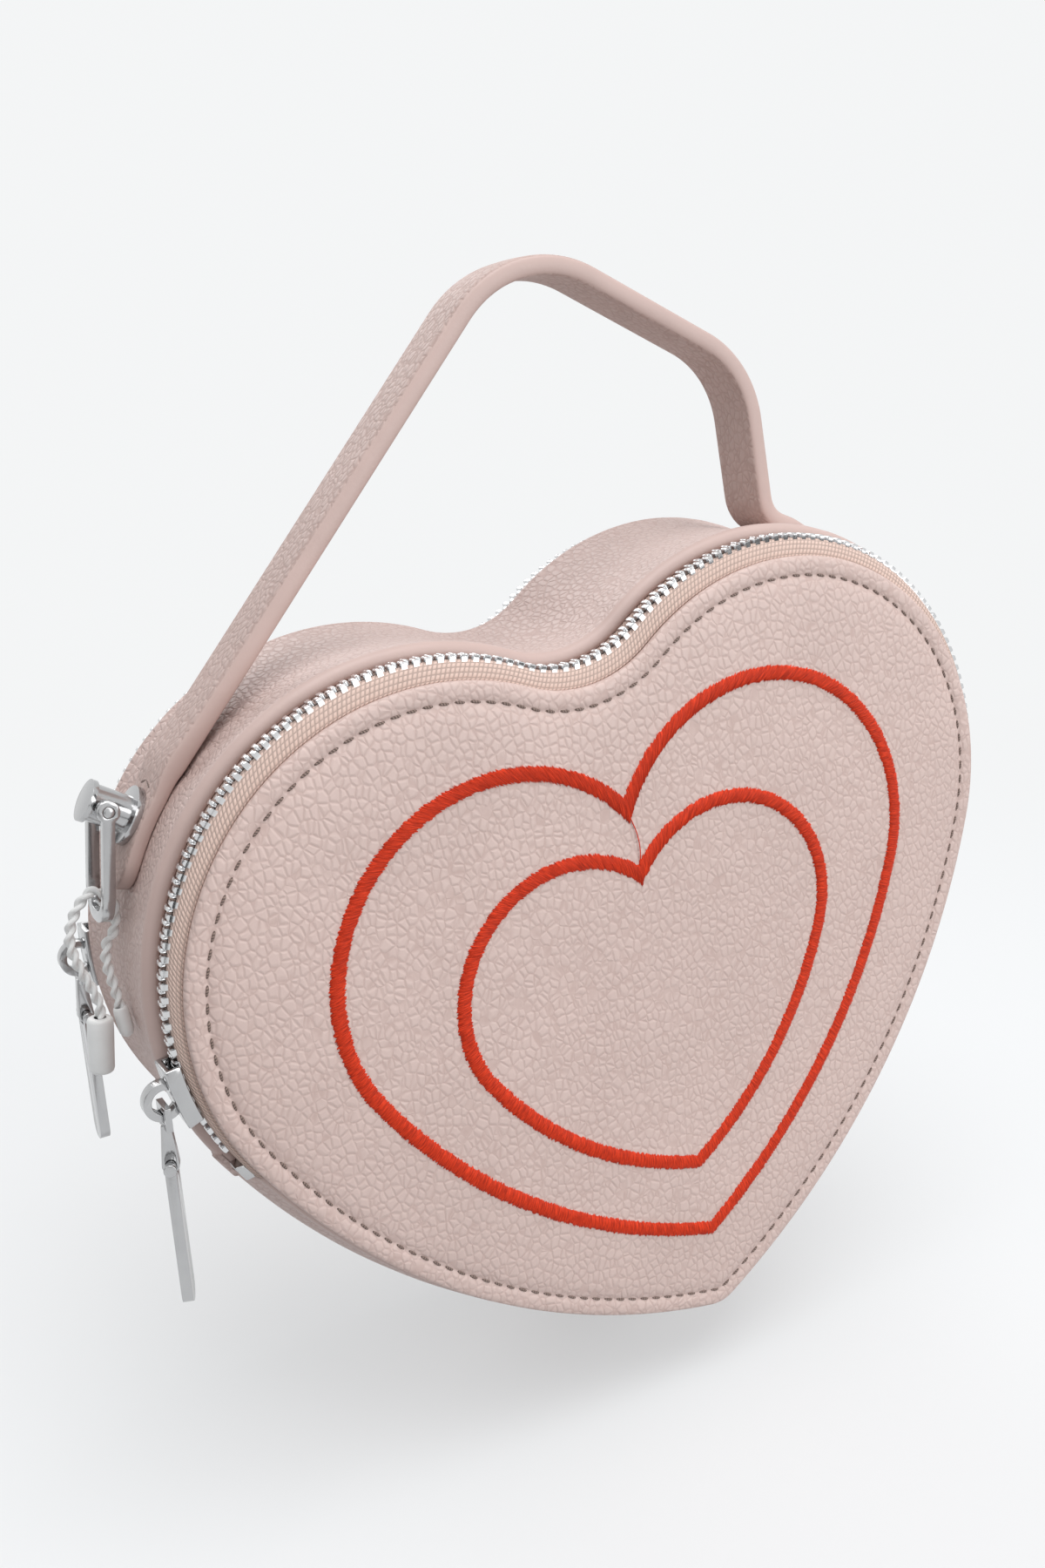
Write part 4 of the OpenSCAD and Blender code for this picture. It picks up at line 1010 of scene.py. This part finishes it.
# Hardware: posts and shackles on the tabs, and the zips' sliders, links and pulls. All are bright
# plated castings with small round edges, pinned together; each is made from its CAD piece.
def cast_piece(node, body, edge):
    """A copy of a CAD piece with its edges rounded by this much."""
    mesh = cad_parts[node].data.copy()
    mesh.name = node + "_cast"
    cut = bmesh.new()
    cut.from_mesh(mesh)
    bmesh.ops.remove_doubles(cut, verts=cut.verts, dist=2e-6)
    bmesh.ops.dissolve_limit(cut, angle_limit=math.radians(1.5), verts=cut.verts, edges=cut.edges)
    sharp = [e for e in cut.edges if e.is_manifold and e.calc_face_angle(0) > math.radians(32)]
    bmesh.ops.bevel(cut, geom=sharp, offset=edge, segments=3, profile=0.5, affect="EDGES", clamp_overlap=True)
    bmesh.ops.recalc_face_normals(cut, faces=cut.faces)
    cut.to_mesh(mesh)
    cut.free()
    mesh.materials.clear()
    mesh.materials.append(metal_finish)
    mesh.shade_smooth()
    mesh.set_sharp_from_angle(angle=math.radians(40))
    piece = added(node + "_cast", mesh)
    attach(piece, body)
    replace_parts(piece, node)


hangers, zips = ("left_", "right_"), ("front_", "back_")
castings = ((hangers, "post", None, 0.25), (hangers, "shackle", "shackle_body", 0.75),
    (hangers, "pin", "shackle_body", 0.3), (("zip_",), "stops", None, 0.25),
    (zips, "slider", "slider_body", 0.3), (zips, "bail", "slider_body", 0.4),
    (zips, "link", "link_body", 0.3), (zips, "rivet", "link_body", 0.2), (zips, "pull", "pull_body", 0.6))
for pair, part, body, edge in castings:
    for side in pair:
        cast_piece(side + part, side + body if body else "case", edge * mm)


# Tag cord: two plies of white cord, twisted, looped through the left shackle, with a white
# barrel and a small plug on its ends.
cord_route = [(-104.6, 5.7), (-104, 7.9), (-104.2, 11), (-104.9, 15), (-105.4, 19), (-105.1, 22.6),
    (-103.3, 26.3), (-100.5, 29), (-98.1, 29.7), (-95.9, 27.3), (-95.6, 24.6), (-97.1, 20.9),
    (-98.9, 19.2), (-100, 16.5), (-100.3, 13.5), (-100.3, 11), (-100.4, 7.9), (-100.5, 5.7)]
cord_points = [Vector(place(x * mm, half_depth, z * mm)) for x, z in cord_route]


def smooth_line(points, parts):
    """A curve through the points, with this many steps between each two."""
    line = []
    for i in range(len(points) - 1):
        a, b = points[i], points[i + 1]
        before, after = points[max(i - 1, 0)], points[min(i + 2, len(points) - 1)]
        for k in range(parts):
            t = k / parts
            line.append(0.5 * (2 * a + (b - before) * t + (2 * before - 5 * a + 4 * b - after) * t ** 2
                + (3 * a - before - 3 * b + after) * t ** 3))
    return line + [points[-1]]


cord_line = smooth_line(cord_points, 12)
cord_run = distances(cord_line)
cord_twist = 5.2 * mm
cord_nodes = Finish("white_cord")
fibre = cord_nodes.strands(1.6 * mm, 0.2 * mm, 3.0)
# The cord is painted darker where its fibre relief is low, as painted shade between the fibres.
cord_finish = cord_nodes.finish(Roughness=0.75, Normal=cord_nodes.relief(fibre, 0.12 * mm),
    Base_Color=cord_nodes.between(cord_nodes.steps(fibre, 0.3, 0.7), (0.80, 0.80, 0.79), (0.90, 0.90, 0.89)))
plies = [round_tube("ply", cord_line, 0.6 * mm, 10, cord_finish,
    lambda i, start=start: (start + 2 * math.pi * cord_run[i] / cord_twist, 0.5 * mm))
    for start in (0, math.pi)]
both_plies = bmesh.new()
for ply_piece in plies:
    both_plies.from_mesh(ply_piece.data)
cord_mesh = bpy.data.meshes.new("tag_cord_plies")
both_plies.to_mesh(cord_mesh)
both_plies.free()
cord_mesh.materials.append(cord_finish)
cord_mesh.shade_smooth()
for ply_piece in plies:
    bpy.data.objects.remove(ply_piece)
cord_piece = added("tag_cord_plies", cord_mesh)
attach(cord_piece, "left_shackle_body")
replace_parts(cord_piece, "tag_cord")
white_nodes = Finish("white_plastic")
haze = white_nodes.noise(3 * mm, 3.0, 0.6)
white_finish = white_nodes.finish(Roughness=0.34 + haze * 0.12,
    Normal=white_nodes.relief(haze, 0.04 * mm, 0.4),
    Base_Color=white_nodes.between(haze, (0.80, 0.80, 0.79), (0.87, 0.87, 0.86)))


def turned_piece(name, node, start, way, profile):
    """A moulded round piece on the cord's end: (distance along, radius) in mm."""
    way = way.normalized()
    side_way = Vector((0, 1, 0))
    rows = [round_row(start + way * (h * mm), side_way, way.cross(side_way), r * mm, 28) for h, r in profile]
    piece = grid_piece(name, rows, [white_finish], loop=True)
    piece.data.set_sharp_from_angle(angle=math.radians(50))
    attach(piece, "left_shackle_body")
    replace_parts(piece, node)
    return piece


barrel = turned_piece("white_barrel", "tag_barrel", cord_points[0], cord_points[0] - cord_points[1],
    [(0, 1.15), (-0.05, 1.6), (0.05, 2.05), (0.3, 2.35), (0.7, 2.48), (3, 2.5), (7, 2.42),
        (10.2, 2.36), (10.7, 2.22), (10.95, 1.95), (11, 1.5), (10.8, 1.3), (10.2, 1.2), (9.0, 1.15),
        (9.0, 0.01)])
plug = turned_piece("white_plug", "tag_plug", cord_points[-1], cord_points[-1] - cord_points[-2],
    [(-0.5, 1.05), (-0.3, 1.3), (0.1, 1.45), (0.8, 1.5), (4.2, 1.5), (4.9, 1.38), (5.5, 1.05),
        (5.9, 0.5), (6, 0.01)])


# Colours are shown as they are.
bpy.context.scene.view_settings.view_transform = "Standard"
bpy.context.view_layer.update()
